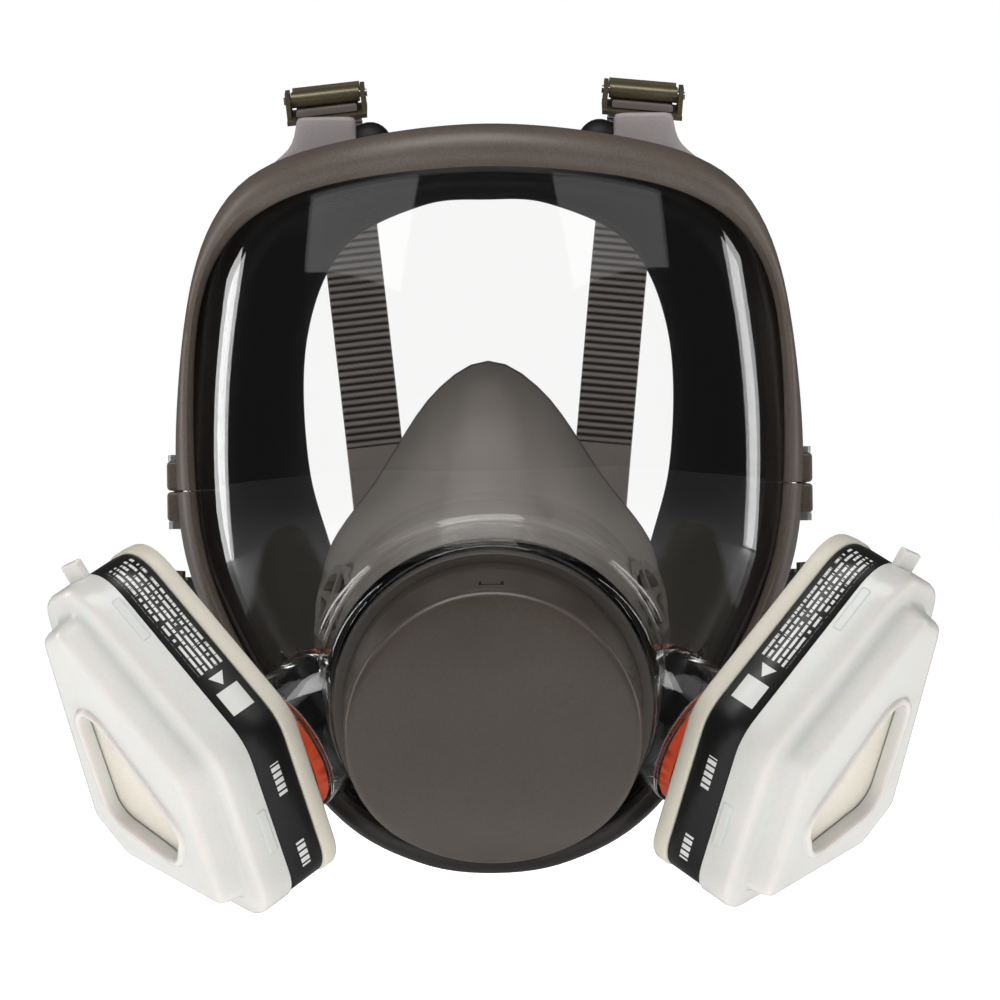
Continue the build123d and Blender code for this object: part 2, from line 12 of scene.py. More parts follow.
import bmesh
import bpy
from mathutils import Matrix, Vector

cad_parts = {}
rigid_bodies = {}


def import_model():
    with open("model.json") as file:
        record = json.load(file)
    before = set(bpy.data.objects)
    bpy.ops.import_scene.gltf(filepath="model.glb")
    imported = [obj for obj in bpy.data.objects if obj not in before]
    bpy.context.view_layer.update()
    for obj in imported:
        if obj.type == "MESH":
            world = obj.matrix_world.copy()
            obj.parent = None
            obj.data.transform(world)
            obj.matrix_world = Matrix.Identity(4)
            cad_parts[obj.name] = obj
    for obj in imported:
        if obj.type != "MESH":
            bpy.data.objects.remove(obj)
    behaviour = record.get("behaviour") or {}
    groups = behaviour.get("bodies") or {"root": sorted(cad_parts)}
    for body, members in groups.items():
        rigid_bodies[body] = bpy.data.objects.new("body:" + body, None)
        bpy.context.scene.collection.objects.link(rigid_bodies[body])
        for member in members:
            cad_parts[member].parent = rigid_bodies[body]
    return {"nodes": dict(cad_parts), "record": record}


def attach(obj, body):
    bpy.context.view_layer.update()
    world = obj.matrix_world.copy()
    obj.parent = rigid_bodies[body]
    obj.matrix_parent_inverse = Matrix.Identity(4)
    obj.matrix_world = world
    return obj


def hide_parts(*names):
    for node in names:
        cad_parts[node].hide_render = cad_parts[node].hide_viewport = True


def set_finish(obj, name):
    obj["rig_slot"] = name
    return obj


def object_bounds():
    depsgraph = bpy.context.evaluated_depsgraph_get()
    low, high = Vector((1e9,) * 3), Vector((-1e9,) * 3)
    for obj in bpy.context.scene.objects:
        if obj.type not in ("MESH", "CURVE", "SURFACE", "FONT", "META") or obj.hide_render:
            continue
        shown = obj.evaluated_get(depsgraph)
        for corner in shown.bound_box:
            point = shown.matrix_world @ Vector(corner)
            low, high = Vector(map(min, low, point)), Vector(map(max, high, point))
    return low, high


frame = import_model()
NODES = frame["nodes"]
cad_low, cad_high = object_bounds()
MM = 0.001
SIDES = {"left": 1, "right": -1}
print("CAD nodes:", len(NODES), "box:", [round(c, 3) for c in (*cad_low, *cad_high)])

# %% [markdown]
# ## Camera first
# The mask is seen square from the front, at eye level and from about a metre away. A long lens
# keeps the perspective mild, so the round pieces stay round.

# %% Camera
CAMERA_DISTANCE = 0.9
CAMERA_LENS = 102.6
camera_data = bpy.data.cameras.new("camera")
camera_data.sensor_width = 36
camera_data.lens = CAMERA_LENS
camera_data.shift_x = 0.01
camera = bpy.data.objects.new("camera", camera_data)
camera.location = (0, -CAMERA_DISTANCE, 0)
camera.rotation_euler = (math.radians(90), math.radians(0.8), 0)
bpy.context.scene.collection.objects.link(camera)
bpy.context.scene.camera = camera
print("camera lens", camera_data.lens, "mm")

# %% [markdown]
# ## Outlines
# Every large piece follows one of a few outlines seen from the front. Each is given by half of
# its points, from the top to the bottom, and mirrored. A Catmull-Rom curve through the points
# is smooth without handles. Sampled by angle, two outlines can be joined point for point, which
# is what makes the rings below easy to bridge.

# %% Smooth closed outlines
FRAME_OUTLINE = [(0, 109.5), (35, 107), (64, 101.6), (80.5, 91), (91, 68), (96.5, 25), (95.5, -8),
                 (87.5, -33), (67.5, -68), (45, -95), (22, -107), (0, -110)]
APERTURE_OUTLINE = [(0, 96.6), (40, 94), (64, 88.3), (79, 78), (87.5, 60.6), (90, 30), (88, -7),
                    (79.5, -34), (62.5, -62), (43, -87), (22, -98.5), (0, -101)]
OPENING_OUTLINE = [(0, 93), (20, 91.5), (45, 79), (57, 51), (57, 12.7), (49, -18), (34, -70), (20, -88),
                   (0, -94)]
NOSE_CUP_OUTLINE = [(0, 42), (17, 32), (34, 7), (50, -17), (49.5, -43), (34, -72), (0, -84)]


def mirrored(half):
    """The closed loop of points of a half outline and its mirror image."""
    return half + [(-x, z) for x, z in reversed(half[1:-1])]


def smooth_loop(points, steps=12):
    """Points along a Catmull-Rom curve through a closed loop."""
    out = []
    count = len(points)
    for i in range(count):
        p0, p1, p2, p3 = (Vector(points[(i + k) % count]) for k in (-1, 0, 1, 2))
        for k in range(steps):
            t = k / steps
            out.append(0.5 * (2 * p1 + (p2 - p0) * t + (2 * p0 - 5 * p1 + 4 * p2 - p3) * t ** 2
                              + (3 * p1 - p0 - 3 * p2 + p3) * t ** 3))
    return out


def by_angle(loop, centre, count):
    """The loop's points at evenly spaced angles about a centre inside it."""
    centre = Vector(centre)
    polar = sorted((math.atan2(*(p - centre).yx) % math.tau, (p - centre).length) for p in loop)
    polar = [(polar[-1][0] - math.tau, polar[-1][1])] + polar + [(polar[0][0] + math.tau, polar[0][1])]
    out = []
    at = 0
    for k in range(count):
        angle = math.tau * k / count
        while polar[at + 1][0] < angle:
            at += 1
        (a0, r0), (a1, r1) = polar[at], polar[at + 1]
        radius = r0 + (r1 - r0) * (angle - a0) / max(a1 - a0, 1e-9)
        out.append(centre + radius * Vector((math.cos(angle), math.sin(angle))))
    return out


MASK_COUNT = 180
MASK_CENTRE = (0, 0)
FRAME_LOOP = by_angle(smooth_loop(mirrored(FRAME_OUTLINE)), MASK_CENTRE, MASK_COUNT)
APERTURE_LOOP = by_angle(smooth_loop(mirrored(APERTURE_OUTLINE)), MASK_CENTRE, MASK_COUNT)
OPENING_LOOP = by_angle(smooth_loop(mirrored(OPENING_OUTLINE)), MASK_CENTRE, MASK_COUNT)
print("frame outline width", round(2 * max(p.x for p in FRAME_LOOP), 1), "mm")

# %% [markdown]
# ## Two guiding surfaces
# The lens is part of a barrel and the face is close to an upright cylinder. A depth function for
# each lets every ring land exactly on the lens or on the face.

# %% Depth of the lens and of the face
LENS_AXIS_Y = 16
LENS_RADIUS = 102
LENS_PROFILE_RADIUS = 320
LENS_WIDEST_Z = 15
LENS_THICKNESS = 2.2
HEAD_RADIUS = 120
HEAD_AXIS_Y = 102


def lens_y(x, z, grow=0.0):
    """Depth of the lens surface moved outwards by a distance."""
    bulge = LENS_PROFILE_RADIUS + grow
    radius = LENS_RADIUS + grow - (bulge - math.sqrt(bulge ** 2 - (z - LENS_WIDEST_Z) ** 2))
    return LENS_AXIS_Y - math.sqrt(max(radius ** 2 - x ** 2, 0.0))


def head_y(x, lift=0.0):
    """Depth of the face surface moved towards the lens by a distance."""
    return HEAD_AXIS_Y - math.sqrt((HEAD_RADIUS + lift) ** 2 - x ** 2)


print("lens front", round(lens_y(0, 15), 1), "face front", round(head_y(0), 1))

# %% [markdown]
# ## Lofting
# Most pieces here are stacks of closed rings. Each ring is laid down as vertices and edges, and
# `bridge_loops` skins from one to the next, so the mesh is all quads and takes a subdivision
# surface well.

# %% Ring and mesh helpers
def new_object(name, bm, smooth=True):
    """Turn a bmesh into an object in the scene, in metres."""
    bmesh.ops.remove_doubles(bm, verts=bm.verts, dist=1e-5)
    bmesh.ops.recalc_face_normals(bm, faces=bm.faces)
    bmesh.ops.scale(bm, vec=(MM, MM, MM), verts=bm.verts)
    mesh = bpy.data.meshes.new(name)
    bm.to_mesh(mesh)
    bm.free()
    if smooth:
        mesh.shade_smooth()
    piece = bpy.data.objects.new(name, mesh)
    bpy.context.scene.collection.objects.link(piece)
    return piece


def ring(bm, points):
    """A closed loop of edges through points."""
    verts = [bm.verts.new(p) for p in points]
    return [bm.edges.new((a, b)) for a, b in zip(verts, verts[1:] + verts[:1])]


def loft(rings, join_ends=False, cap_ends=False):
    """A skin over a stack of closed rings, closed end to end or capped."""
    bm = bmesh.new()
    loops = [ring(bm, points) for points in rings]
    pairs = list(zip(loops, loops[1:]))
    if join_ends:
        pairs.append((loops[-1], loops[0]))
    for near, far in pairs:
        bmesh.ops.bridge_loops(bm, edges=near + far)
    if cap_ends:
        bmesh.ops.contextual_create(bm, geom=loops[0])
        bmesh.ops.contextual_create(bm, geom=loops[-1])
    return bm


def subdivide(piece, levels=1):
    """Finish a piece with a subdivision surface, the same in the view and in the render."""
    modifier = piece.modifiers.new("smooth", "SUBSURF")
    modifier.levels = levels
    modifier.render_levels = levels
    return piece


def round_edges(piece, width, segments=3, angle=30):
    """Finish a piece with rounded edges."""
    modifier = piece.modifiers.new("rounding", "BEVEL")
    modifier.width = width * MM
    modifier.segments = segments
    modifier.limit_method = "ANGLE"
    modifier.angle_limit = math.radians(angle)
    modifier.harden_normals = True
    return piece


print("helpers ready")

# %% [markdown]
# ## The clamp ring
# On the real mask the lens is held by a rounded ring in two halves, screwed together at the
# temples. One rounded profile follows the rim of the lens all the way round. The closed ring is
# then cut at the temple line with `bisect_plane` and each cut is filled, once for each half.

# %% Frame halves
FRAME_PROFILE = [(0.0, 0.15), (0.0, 1.2), (0.05, 2.6), (0.2, 4.6), (0.45, 5.5), (0.72, 5.0), (0.92, 2.8),
                 (1.0, -0.4), (1.0, -5.5), (0.93, -7.0), (0.62, -6.6), (0.6, -3.2), (0.55, 0.1)]
FRAME_SPLIT = 4.0
FRAME_GAP = 0.2


def frame_rings():
    rings = []
    for share, lift in FRAME_PROFILE:
        points = []
        for inner, outer in zip(APERTURE_LOOP, FRAME_LOOP):
            p = inner.lerp(outer, share)
            points.append((p.x, lens_y(p.x, p.y, lift), p.y))
        rings.append(points)
    return rings


def frame_half(name, upward):
    bm = loft(frame_rings(), join_ends=True)
    cut = bmesh.ops.bisect_plane(bm, geom=bm.verts[:] + bm.edges[:] + bm.faces[:], dist=1e-4,
                                 plane_co=(0, 0, FRAME_SPLIT + upward * FRAME_GAP),
                                 plane_no=(0, 0, -upward), clear_outer=True)
    border = [e for e in cut["geom_cut"] if isinstance(e, bmesh.types.BMEdge)]
    bmesh.ops.holes_fill(bm, edges=border, sides=0)
    piece = new_object(name, bm)
    round_edges(piece, 0.5, 2, 60)
    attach(piece, "facepiece")
    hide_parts(name.replace("_shaped", ""))
    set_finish(piece, "frame_plastic")
    return piece


frame_upper = frame_half("frame_upper_shaped", 1)
frame_lower = frame_half("frame_lower_shaped", -1)
print("frame halves:", len(frame_upper.data.polygons), len(frame_lower.data.polygons), "faces")

# %% [markdown]
# ## The face seal
# The seal is one soft moulding: a wall behind the lens, a broad flap that lies on the face, and
# a turned lip round the opening. Its section is a short list of places, each a share of the way
# from the opening to the wall and a depth measured from the lens or from the face.

# %% Face seal
WALL_OUT = 4.5
WALL_IN = 8.0
LENS_BACK = 2.5


def inset_loop(loop, distance):
    """The loop drawn in towards the centre by about a distance."""
    return [p * (1 - distance / p.length) for p in loop]


SEAL_WALL_OUTER = inset_loop(FRAME_LOOP, WALL_OUT)
SEAL_WALL_INNER = inset_loop(FRAME_LOOP, WALL_IN)


def seal_ring(loop, depth):
    return [(p.x, depth(p), p.y) for p in loop]


def mixed(near, far, share):
    return [a.lerp(b, share) for a, b in zip(near, far)]


def face_depth(lift):
    return lambda p: head_y(p.x, lift)


def lens_depth(back):
    return lambda p: lens_y(p.x, p.y, -back)


def wall_depth(share):
    """Part of the way down the wall, from behind the lens to the flap."""
    return lambda p: (1 - share) * lens_y(p.x, p.y, -LENS_BACK - 0.5) + share * head_y(p.x, 9)


def wall_loop(distance):
    return inset_loop(FRAME_LOOP, WALL_IN + distance)


def flap_loop(share):
    return mixed(OPENING_LOOP, SEAL_WALL_INNER, share)


SEAL_SECTION = [
    (SEAL_WALL_OUTER, lens_depth(LENS_BACK)), (SEAL_WALL_INNER, lens_depth(LENS_BACK)),
    (wall_loop(1.6), lens_depth(LENS_BACK + 1.0)), (wall_loop(1.7), lens_depth(LENS_BACK + 4.0)),
    (wall_loop(0.2), lens_depth(LENS_BACK + 5.0)), (SEAL_WALL_INNER, wall_depth(0.45)),
    (wall_loop(1.8), wall_depth(0.75)), (wall_loop(2.2), wall_depth(0.8)),
    (flap_loop(0.9), face_depth(7.5)), (flap_loop(0.75), face_depth(4.2)),
    (flap_loop(0.4), face_depth(3.0)), (flap_loop(0.07), face_depth(3.2)),
    (OPENING_LOOP, face_depth(2.4)), (inset_loop(OPENING_LOOP, 0.6), face_depth(1.2)),
    (OPENING_LOOP, face_depth(0.2)), (flap_loop(0.1), face_depth(0.0)), (flap_loop(0.6), face_depth(0.0)),
    (mixed(OPENING_LOOP, SEAL_WALL_OUTER, 0.95), face_depth(0.4)),
    (SEAL_WALL_OUTER, face_depth(3.0)), (SEAL_WALL_OUTER, wall_depth(0.6)),
]
seal_rings = [seal_ring(loop, depth) for loop, depth in SEAL_SECTION]
face_seal = new_object("face_seal_moulding", loft(seal_rings, join_ends=True))
subdivide(face_seal, 1)
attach(face_seal, "facepiece")
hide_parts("face_seal")
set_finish(face_seal, "seal_rubber")
print("face seal:", len(face_seal.data.polygons), "faces before smoothing")

# %% [markdown]
# ## The nose cup
# A soft grey cup leads from the round exhalation tube to a pear-shaped rim on the nose and chin.
# Rings step from the circle to the rim. A raised band runs up its bridge to the tip, so the
# points near the middle of the upper half are lifted outwards.

# %% Nose cup
CENTER_Y = -92
CENTER_Z = -57
CENTER_LEAN = math.radians(11)
CENTER_OUT = Vector((0, -math.cos(CENTER_LEAN), -math.sin(CENTER_LEAN)))
CENTER_UP = Vector((0, -math.sin(CENTER_LEAN), math.cos(CENTER_LEAN)))
CENTER_ORIGIN = Vector((0, CENTER_Y, CENTER_Z))
CUP_COLLAR = -14
CUP_BACK_Y = -21
CUP_COUNT = 96
CUP_WALL = 2.0
CUP_TUBE_RADIUS = 41.2
CUP_TUBE_END = -5
CUP_STEPS = 14
RIM_FLARE = 1.012


def on_center(x, up, out):
    """A point given in the exhalation unit's own frame."""
    return CENTER_ORIGIN + Vector((x, 0, 0)) + CENTER_UP * up + CENTER_OUT * out


def around(count):
    """Evenly spaced angles of a full turn."""
    return [math.tau * k / count for k in range(count)]


def center_circle(radius, out, count):
    """A circle about the exhalation unit's axis."""
    return [on_center(radius * math.cos(angle), radius * math.sin(angle), out) for angle in around(count)]


CUP_RIM_CENTRE = (0, -40)
cup_rim = by_angle(smooth_loop(mirrored(NOSE_CUP_OUTLINE)), CUP_RIM_CENTRE, CUP_COUNT)


def smooth_step(low, high, value):
    t = min(max((value - low) / (high - low), 0), 1)
    return t * t * (3 - 2 * t)


def cup_ring(share, shrink):
    """One ring part of the way from the collar to the rim, moved inwards by a distance."""
    points = []
    for near, rim in zip(center_circle(CUP_TUBE_RADIUS, CUP_COLLAR, CUP_COUNT), cup_rim):
        far = Vector((rim.x, CUP_BACK_Y, rim.y))
        p = near.lerp(far, share)
        outward = Vector((p.x, 0, p.z - CUP_RIM_CENTRE[1])).normalized()
        bridge = 1 - smooth_step(0.75, 1.0, abs(p.x) / (5.5 + 15 * (1 - share)))
        fade = smooth_step(0.0, 0.15, share) * (1 - smooth_step(0.8, 1, share)) * (p.z > CENTER_Z)
        lift = 3.2 * bridge * fade
        cheek = 3.0 * math.sin(math.pi * share) * (1 - bridge)
        p += (outward * 0.8 + Vector((0, -0.6, 0))) * (lift + cheek * 0.5)
        points.append(p - outward * shrink)
    return points


def tube_rings(radius):
    """The two circles of the cup's tube, from its end to the collar."""
    return [center_circle(radius, out, CUP_COUNT) for out in (CUP_TUBE_END, CUP_COLLAR + 1)]


def flared(z):
    return CUP_RIM_CENTRE[1] + (z - CUP_RIM_CENTRE[1]) * RIM_FLARE


cup_rings = tube_rings(CUP_TUBE_RADIUS)
cup_rings += [cup_ring(k / CUP_STEPS, 0) for k in range(CUP_STEPS + 1)]
cup_rings.append([(p.x * RIM_FLARE, p.y + 1.2, flared(p.z)) for p in cup_ring(1, 0)])
cup_rings.append([(p.x, p.y + 0.4, p.z) for p in cup_ring(1, CUP_WALL)])
cup_rings += [cup_ring(k / CUP_STEPS, CUP_WALL) for k in reversed(range(CUP_STEPS))]
cup_rings += reversed(tube_rings(CUP_TUBE_RADIUS - CUP_WALL))
nose_cup = new_object("nose_cup_moulding", loft(cup_rings, join_ends=True))


# %% Cut the two valve openings
def cut_away(piece, tool):
    """Subtract one mesh from another and drop the tool."""
    modifier = piece.modifiers.new("cut", "BOOLEAN")
    modifier.operation = "DIFFERENCE"
    modifier.solver = "EXACT"
    modifier.object = tool
    bpy.context.view_layer.update()
    evaluated = piece.evaluated_get(bpy.context.evaluated_depsgraph_get())
    piece.data = bpy.data.meshes.new_from_object(evaluated)
    piece.modifiers.clear()
    bpy.data.objects.remove(tool)


def cylinder(name, origin, axis, radius, start, end, segments=64):
    """A capped cylinder between two heights along an axis."""
    turn = Vector(axis).to_track_quat("Z", "Y").to_matrix().to_4x4()
    place = Matrix.Translation(Vector(origin) + Vector(axis).normalized() * (start + end) / 2) @ turn
    bm = bmesh.new()
    bmesh.ops.create_cone(bm, cap_ends=True, segments=segments, radius1=radius, radius2=radius,
                          depth=end - start, matrix=place)
    return new_object(name, bm, smooth=False)


CUP_VALVE_ORIGIN = (41.5, -51.5, -31)
CUP_VALVE_AXIS = (0.85, -0.5, 0.15)
CUP_VALVE_RADIUS = 11.45
for side in SIDES.values():
    origin = (-side * CUP_VALVE_ORIGIN[0], *CUP_VALVE_ORIGIN[1:])
    axis = (-side * CUP_VALVE_AXIS[0], *CUP_VALVE_AXIS[1:])
    cut_away(nose_cup, cylinder("cutter", origin, axis, CUP_VALVE_RADIUS, -10, 12))
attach(nose_cup, "facepiece")
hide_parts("nose_cup")
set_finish(nose_cup, "cup_rubber")
print("nose cup:", len(nose_cup.data.polygons), "faces")

# %% [markdown]
# ## The exhalation unit
# A satin dome covers the exhalation valve. It is a shallow cone cut off by a face that leans back
# towards the chin. Starting from a disc of rings makes its rim soft: each ring is a circle pulled
# in at the edge of the face, and the face's depth is read from a side profile.

# %% Exhalation cover
COVER_BACK = 9.4
COVER_RADIUS = 42.3
COVER_FRONT_RADIUS = 40.4
COVER_COUNT = 128
COVER_FACE = [(-60, 16), (-39, 25.5), (-26, 34.5), (-12, 40), (0, 40.8), (20, 39.5), (38, 36.5), (60, 33)]
COVER_WALL = 2.2


def face_height(up):
    """How far out the cover's face lies at a height, from its side profile."""
    for (u0, h0), (u1, h1) in zip(COVER_FACE, COVER_FACE[1:]):
        if up <= u1:
            return h0 + (h1 - h0) * (up - u0) / (u1 - u0)
    return COVER_FACE[-1][1]


def soft_face_height(up):
    """The face's height averaged over a short way, so that its bends are rounded."""
    spread = 5.0
    return sum(face_height(up + spread * (k - 2) / 2) for k in range(5)) / 5


def cover_ring(radius, share=1.0, depth_drop=0.0):
    """A circle of the cover, a share of the way from its back to its face."""
    points = []
    for angle in around(COVER_COUNT):
        x, up = radius * math.cos(angle), radius * math.sin(angle)
        points.append(on_center(x, up, COVER_BACK + share * (soft_face_height(up) - COVER_BACK) - depth_drop))
    return points


def cover_side(share, radius_drop, depth_drop):
    """A ring on the side wall, which narrows towards the face."""
    radius = COVER_RADIUS + (COVER_FRONT_RADIUS - COVER_RADIUS) * share - radius_drop
    return cover_ring(radius, share, depth_drop)


COVER_SIDE = [(0, 0.3, 0), (0, 0, -0.4), (0.3, 0, 0), (0.7, 0, 0), (1, 0, 2.6), (1, 0.12, 1.7),
              (1, 0.55, 0.8), (1, 1.3, 0.2), (1, 2.4, 0)]
cover_rings = [cover_side(*place) for place in COVER_SIDE]
cover_rings += [cover_ring(radius) for radius in (34, 29, 23, 17, 11, 5)]
bm = loft(cover_rings)
middle = [e for e in bm.edges if e.is_boundary and (e.verts[0].co - on_center(0, 0, 40)).length < 8]
bmesh.ops.holes_fill(bm, edges=middle, sides=0)
exhalation_cover = new_object("exhalation_cover_shell", bm)
solid = exhalation_cover.modifiers.new("wall", "SOLIDIFY")
solid.thickness = COVER_WALL * MM
solid.offset = -1


def block(name, centre, size, x_axis, z_axis):
    """A box of a size, turned to two axes."""
    z = Vector(z_axis).normalized()
    x = Vector(x_axis).normalized()
    turn = Matrix((x, z.cross(x), z)).transposed().to_4x4()
    bm = bmesh.new()
    bmesh.ops.create_cube(bm, size=1)
    bmesh.ops.scale(bm, vec=size, verts=bm.verts)
    bmesh.ops.transform(bm, matrix=Matrix.Translation(Vector(centre)) @ turn, verts=bm.verts)
    return new_object(name, bm, smooth=False)


LATCH_OUT = 29
LATCH_SLOTS = [(0, LATCH_OUT + 1.2, 6.6, 0.7), (-3.0, LATCH_OUT, 0.7, 3.0), (3.0, LATCH_OUT, 0.7, 3.0)]
cover_cuts = [(on_center(0, -41, 18), (40, 14, 7))]
cover_cuts += [(on_center(x, 41, out), (width, 6, length)) for x, out, width, length in LATCH_SLOTS]
for centre, size in cover_cuts:
    cut_away(exhalation_cover, block("cutter", centre, size, (1, 0, 0), CENTER_OUT))
round_edges(exhalation_cover, 0.25, 2, 50)
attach(exhalation_cover, "exhaust_cover")
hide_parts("exhalation_cover")
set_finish(exhalation_cover, "cover_plastic")
print("cover:", len(exhalation_cover.data.polygons), "faces")

# %% [markdown]
# ## Filters
# Each filter is a rounded kite seen face on. It is made once, for the left side, in its own
# frame: lengthwise, across, and outwards along the port. Rings at growing height and shrinking
# outline give the soft shoulder and the raised top. The right one is the mirror image.

# %% The filter's own frame
PORT_ORIGIN = Vector((-64.1, -69.7, -73.4))
PORT_OUT = Vector((-0.718, -0.5, -0.484)).normalized()
PORT_LONG = Vector((0.559, 0, -0.829)).normalized()
PORT_ACROSS = PORT_OUT.cross(PORT_LONG)
FILTER_CORNERS = [(-72, 16), (-8, 30), (41, -5), (6, -56), (-18, -61), (-75, -9)]
FILTER_CORNER_RADIUS = 14
WINDOW_CORNERS = [(-52, -6), (3, -1), (10, -16), (-12, -37)]
FILTER_MIDDLE = (-20, -12)
FILTER_COUNT = 144


def on_port(side, u, v, out):
    """A point in a port's own frame; the right side is the mirror image of the left."""
    p = PORT_ORIGIN + PORT_LONG * u + PORT_ACROSS * v + PORT_OUT * out
    return Vector((p.x * side, p.y, p.z))


def crossing(p, d, q, e):
    """Where a line through p along d meets a line through q along e, in 2-D."""
    return p + d * (((q - p).x * e.y - (q - p).y * e.x) / (d.x * e.y - d.y * e.x))


def half_turn(d, e):
    """Half the angle between two directions."""
    return math.acos(max(-1, min(1, d.dot(e)))) / 2


def rounded_corners(corners, radius, shrink=0.0, steps=8):
    """The loop of a polygon moved inwards by a distance and given round corners."""
    out = []
    count = len(corners)
    centre = sum((Vector(c) for c in corners), Vector((0, 0))) / count
    edges = []
    for k in range(count):
        a, b = Vector(corners[k]), Vector(corners[(k + 1) % count])
        normal = Vector((b.y - a.y, a.x - b.x)).normalized()
        if normal.dot(centre - a) < 0:
            normal = -normal
        edges.append((a + normal * shrink, (b - a).normalized(), normal))
    reach = max(radius - shrink, 1.0)
    for k in range(count):
        (p, d, n), (q, e, m), (r, f, _) = edges[k - 1], edges[k], edges[(k + 1) % count]
        pivot = crossing(p, d, q, e) + (n + m).normalized() * (reach / math.cos(half_turn(d, e)))
        for j in range(steps + 1):
            out.append(pivot - n.slerp(m, j / steps).normalized() * reach)
        start = out[-1]
        end = crossing(q, e, r, f) - e * reach * math.tan(half_turn(e, f))
        out += [start.lerp(end, j / 12) for j in range(1, 12)]
    return out


def filter_ring(side, out, shrink=0.0, corners=FILTER_CORNERS, radius=FILTER_CORNER_RADIUS):
    loop = by_angle(rounded_corners(corners, radius, shrink), FILTER_MIDDLE, FILTER_COUNT)
    return [on_port(side, p.x, p.y, out) for p in loop]


# %% Retainers: a translucent cover with a window over the felt
SKIRT_START = 17.9
SHOULDER_TOP = 28.5
PLATEAU_TOP = 37.0
RETAINER_WALL = 1.7


def retainer(side):
    outside = [(0, SKIRT_START), (0, 22), (0, 26.6), (0.5, 27.9), (1.6, SHOULDER_TOP),
               (5.8, SHOULDER_TOP + 0.15), (7.2, SHOULDER_TOP + 0.6), (7.8, SHOULDER_TOP + 1.8), (8.6, 34.4),
               (9.3, 36.0), (10.6, 36.8), (12.4, PLATEAU_TOP)]
    rings = [filter_ring(side, out, shrink) for shrink, out in outside]
    lip = [(-2.6, 37.0), (-2.0, 38.1), (-1.0, 38.4), (-0.3, 38.1), (0, 37.2), (0, 34.0), (-0.6, 33.6),
           (-2.6, 35.3)]
    rings += [filter_ring(side, out, shrink, WINDOW_CORNERS, 7) for shrink, out in lip]
    inside = [(12.4 + RETAINER_WALL, 35.3), (9.6 + RETAINER_WALL, 33.8), (8.0 + RETAINER_WALL, 27.5),
              (6.0, SHOULDER_TOP - RETAINER_WALL), (RETAINER_WALL + 0.6, SHOULDER_TOP - RETAINER_WALL),
              (RETAINER_WALL, 25.5), (RETAINER_WALL, SKIRT_START)]
    rings += [filter_ring(side, out, shrink) for shrink, out in inside]
    return loft(rings, join_ends=True)


for name, side in SIDES.items():
    cover = new_object(f"{name}_retainer_moulding", retainer(side))
    round_edges(cover, 0.35, 2, 50)
    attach(cover, f"{name}_retainer")
    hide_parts(f"{name}_prefilter_retainer")
    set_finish(cover, "retainer_plastic")
print("retainers:", len(cover.data.polygons), "faces each")

# %% Felt prefilters, a little crowned
def felt(side):
    crown = [(24.7, 9.6), (24.7, 9.2), (30.5, 10.2), (32.6, 11.4), (33.3, 14)]
    rings = [filter_ring(side, out, shrink) for out, shrink in crown]
    rings.append(filter_ring(side, 33.5, 20, radius=22))
    return loft(rings, cap_ends=True)


for name, side in SIDES.items():
    pad = new_object(f"{name}_prefilter_felt", felt(side))
    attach(pad, f"{name}_retainer")
    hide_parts(f"{name}_prefilter")
    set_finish(pad, "filter_felt")
print("felt pads:", len(pad.data.polygons), "faces each")

# %% [markdown]
# ## The lens
# The lens, its round neck and the two port sleeves are one clear moulding. Facets show at once in
# glass, so the shell is lofted afresh with evenly spaced rings: from the rim, over the bulging
# barrel, up the neck and back down the inside. The neck meets the barrel where a cone cuts it, so
# the height of that line is found by stepping along the neck until it touches the barrel.

# %% Lens shell
LENS_LOOP = [p * (1 - 4.0 / p.length) for p in FRAME_LOOP]
NECK_FRONT = 4.0
NECK_WALL = 2.4
NECK_RADIUS = 46
NECK_SPREAD = 6 / 34


def neck_radius(out):
    return NECK_RADIUS + (NECK_FRONT - out) * NECK_SPREAD


def neck_root(angle, grow, back):
    """Where the neck, made wider by a distance, meets the lens surface or its back."""
    out = -20.0
    for _ in range(14):
        radius = neck_radius(out) + grow
        p = on_center(radius * math.cos(angle), radius * math.sin(angle), out)
        out += (p.y - lens_y(p.x, p.z, -back)) / math.cos(CENTER_LEAN)
    return p


def neck_side(root_share, grow):
    """A ring up the neck, a share of the way from its root to its front edge."""
    front = center_circle(NECK_RADIUS + grow, NECK_FRONT, MASK_COUNT)
    back = 0 if grow >= 0 else LENS_THICKNESS
    return [neck_root(angle, grow, back).lerp(p, root_share) for angle, p in zip(around(MASK_COUNT), front)]


def barrel_ring(share, back):
    """A ring on the barrel, a share of the way from the neck to the rim."""
    points = []
    for angle, rim in zip(around(MASK_COUNT), LENS_LOOP):
        root = neck_root(angle, 3.0 - back, back)
        p = Vector((root.x, root.z)).lerp(rim, share)
        points.append((p.x, lens_y(p.x, p.y, -back), p.y))
    return points


BARREL_SHARES = (1.0, 0.96, 0.88, 0.76, 0.63, 0.5, 0.37, 0.25, 0.14, 0.05, 0.0)
lens_rings = [barrel_ring(share, 0) for share in BARREL_SHARES]
lens_rings += [neck_side(share, 0) for share in (0.06, 0.3, 0.6, 0.93)]
lens_rings += [center_circle(radius, NECK_FRONT, MASK_COUNT) for radius in (45.5, 44.1)]
lens_rings += [neck_side(share, -NECK_WALL) for share in (0.93, 0.6, 0.3, 0.06)]
lens_rings += [barrel_ring(share, LENS_THICKNESS) for share in reversed(BARREL_SHARES)]
lens_shell = new_object("lens_shell", loft(lens_rings, join_ends=True))
print("lens shell:", len(lens_shell.data.polygons), "faces")


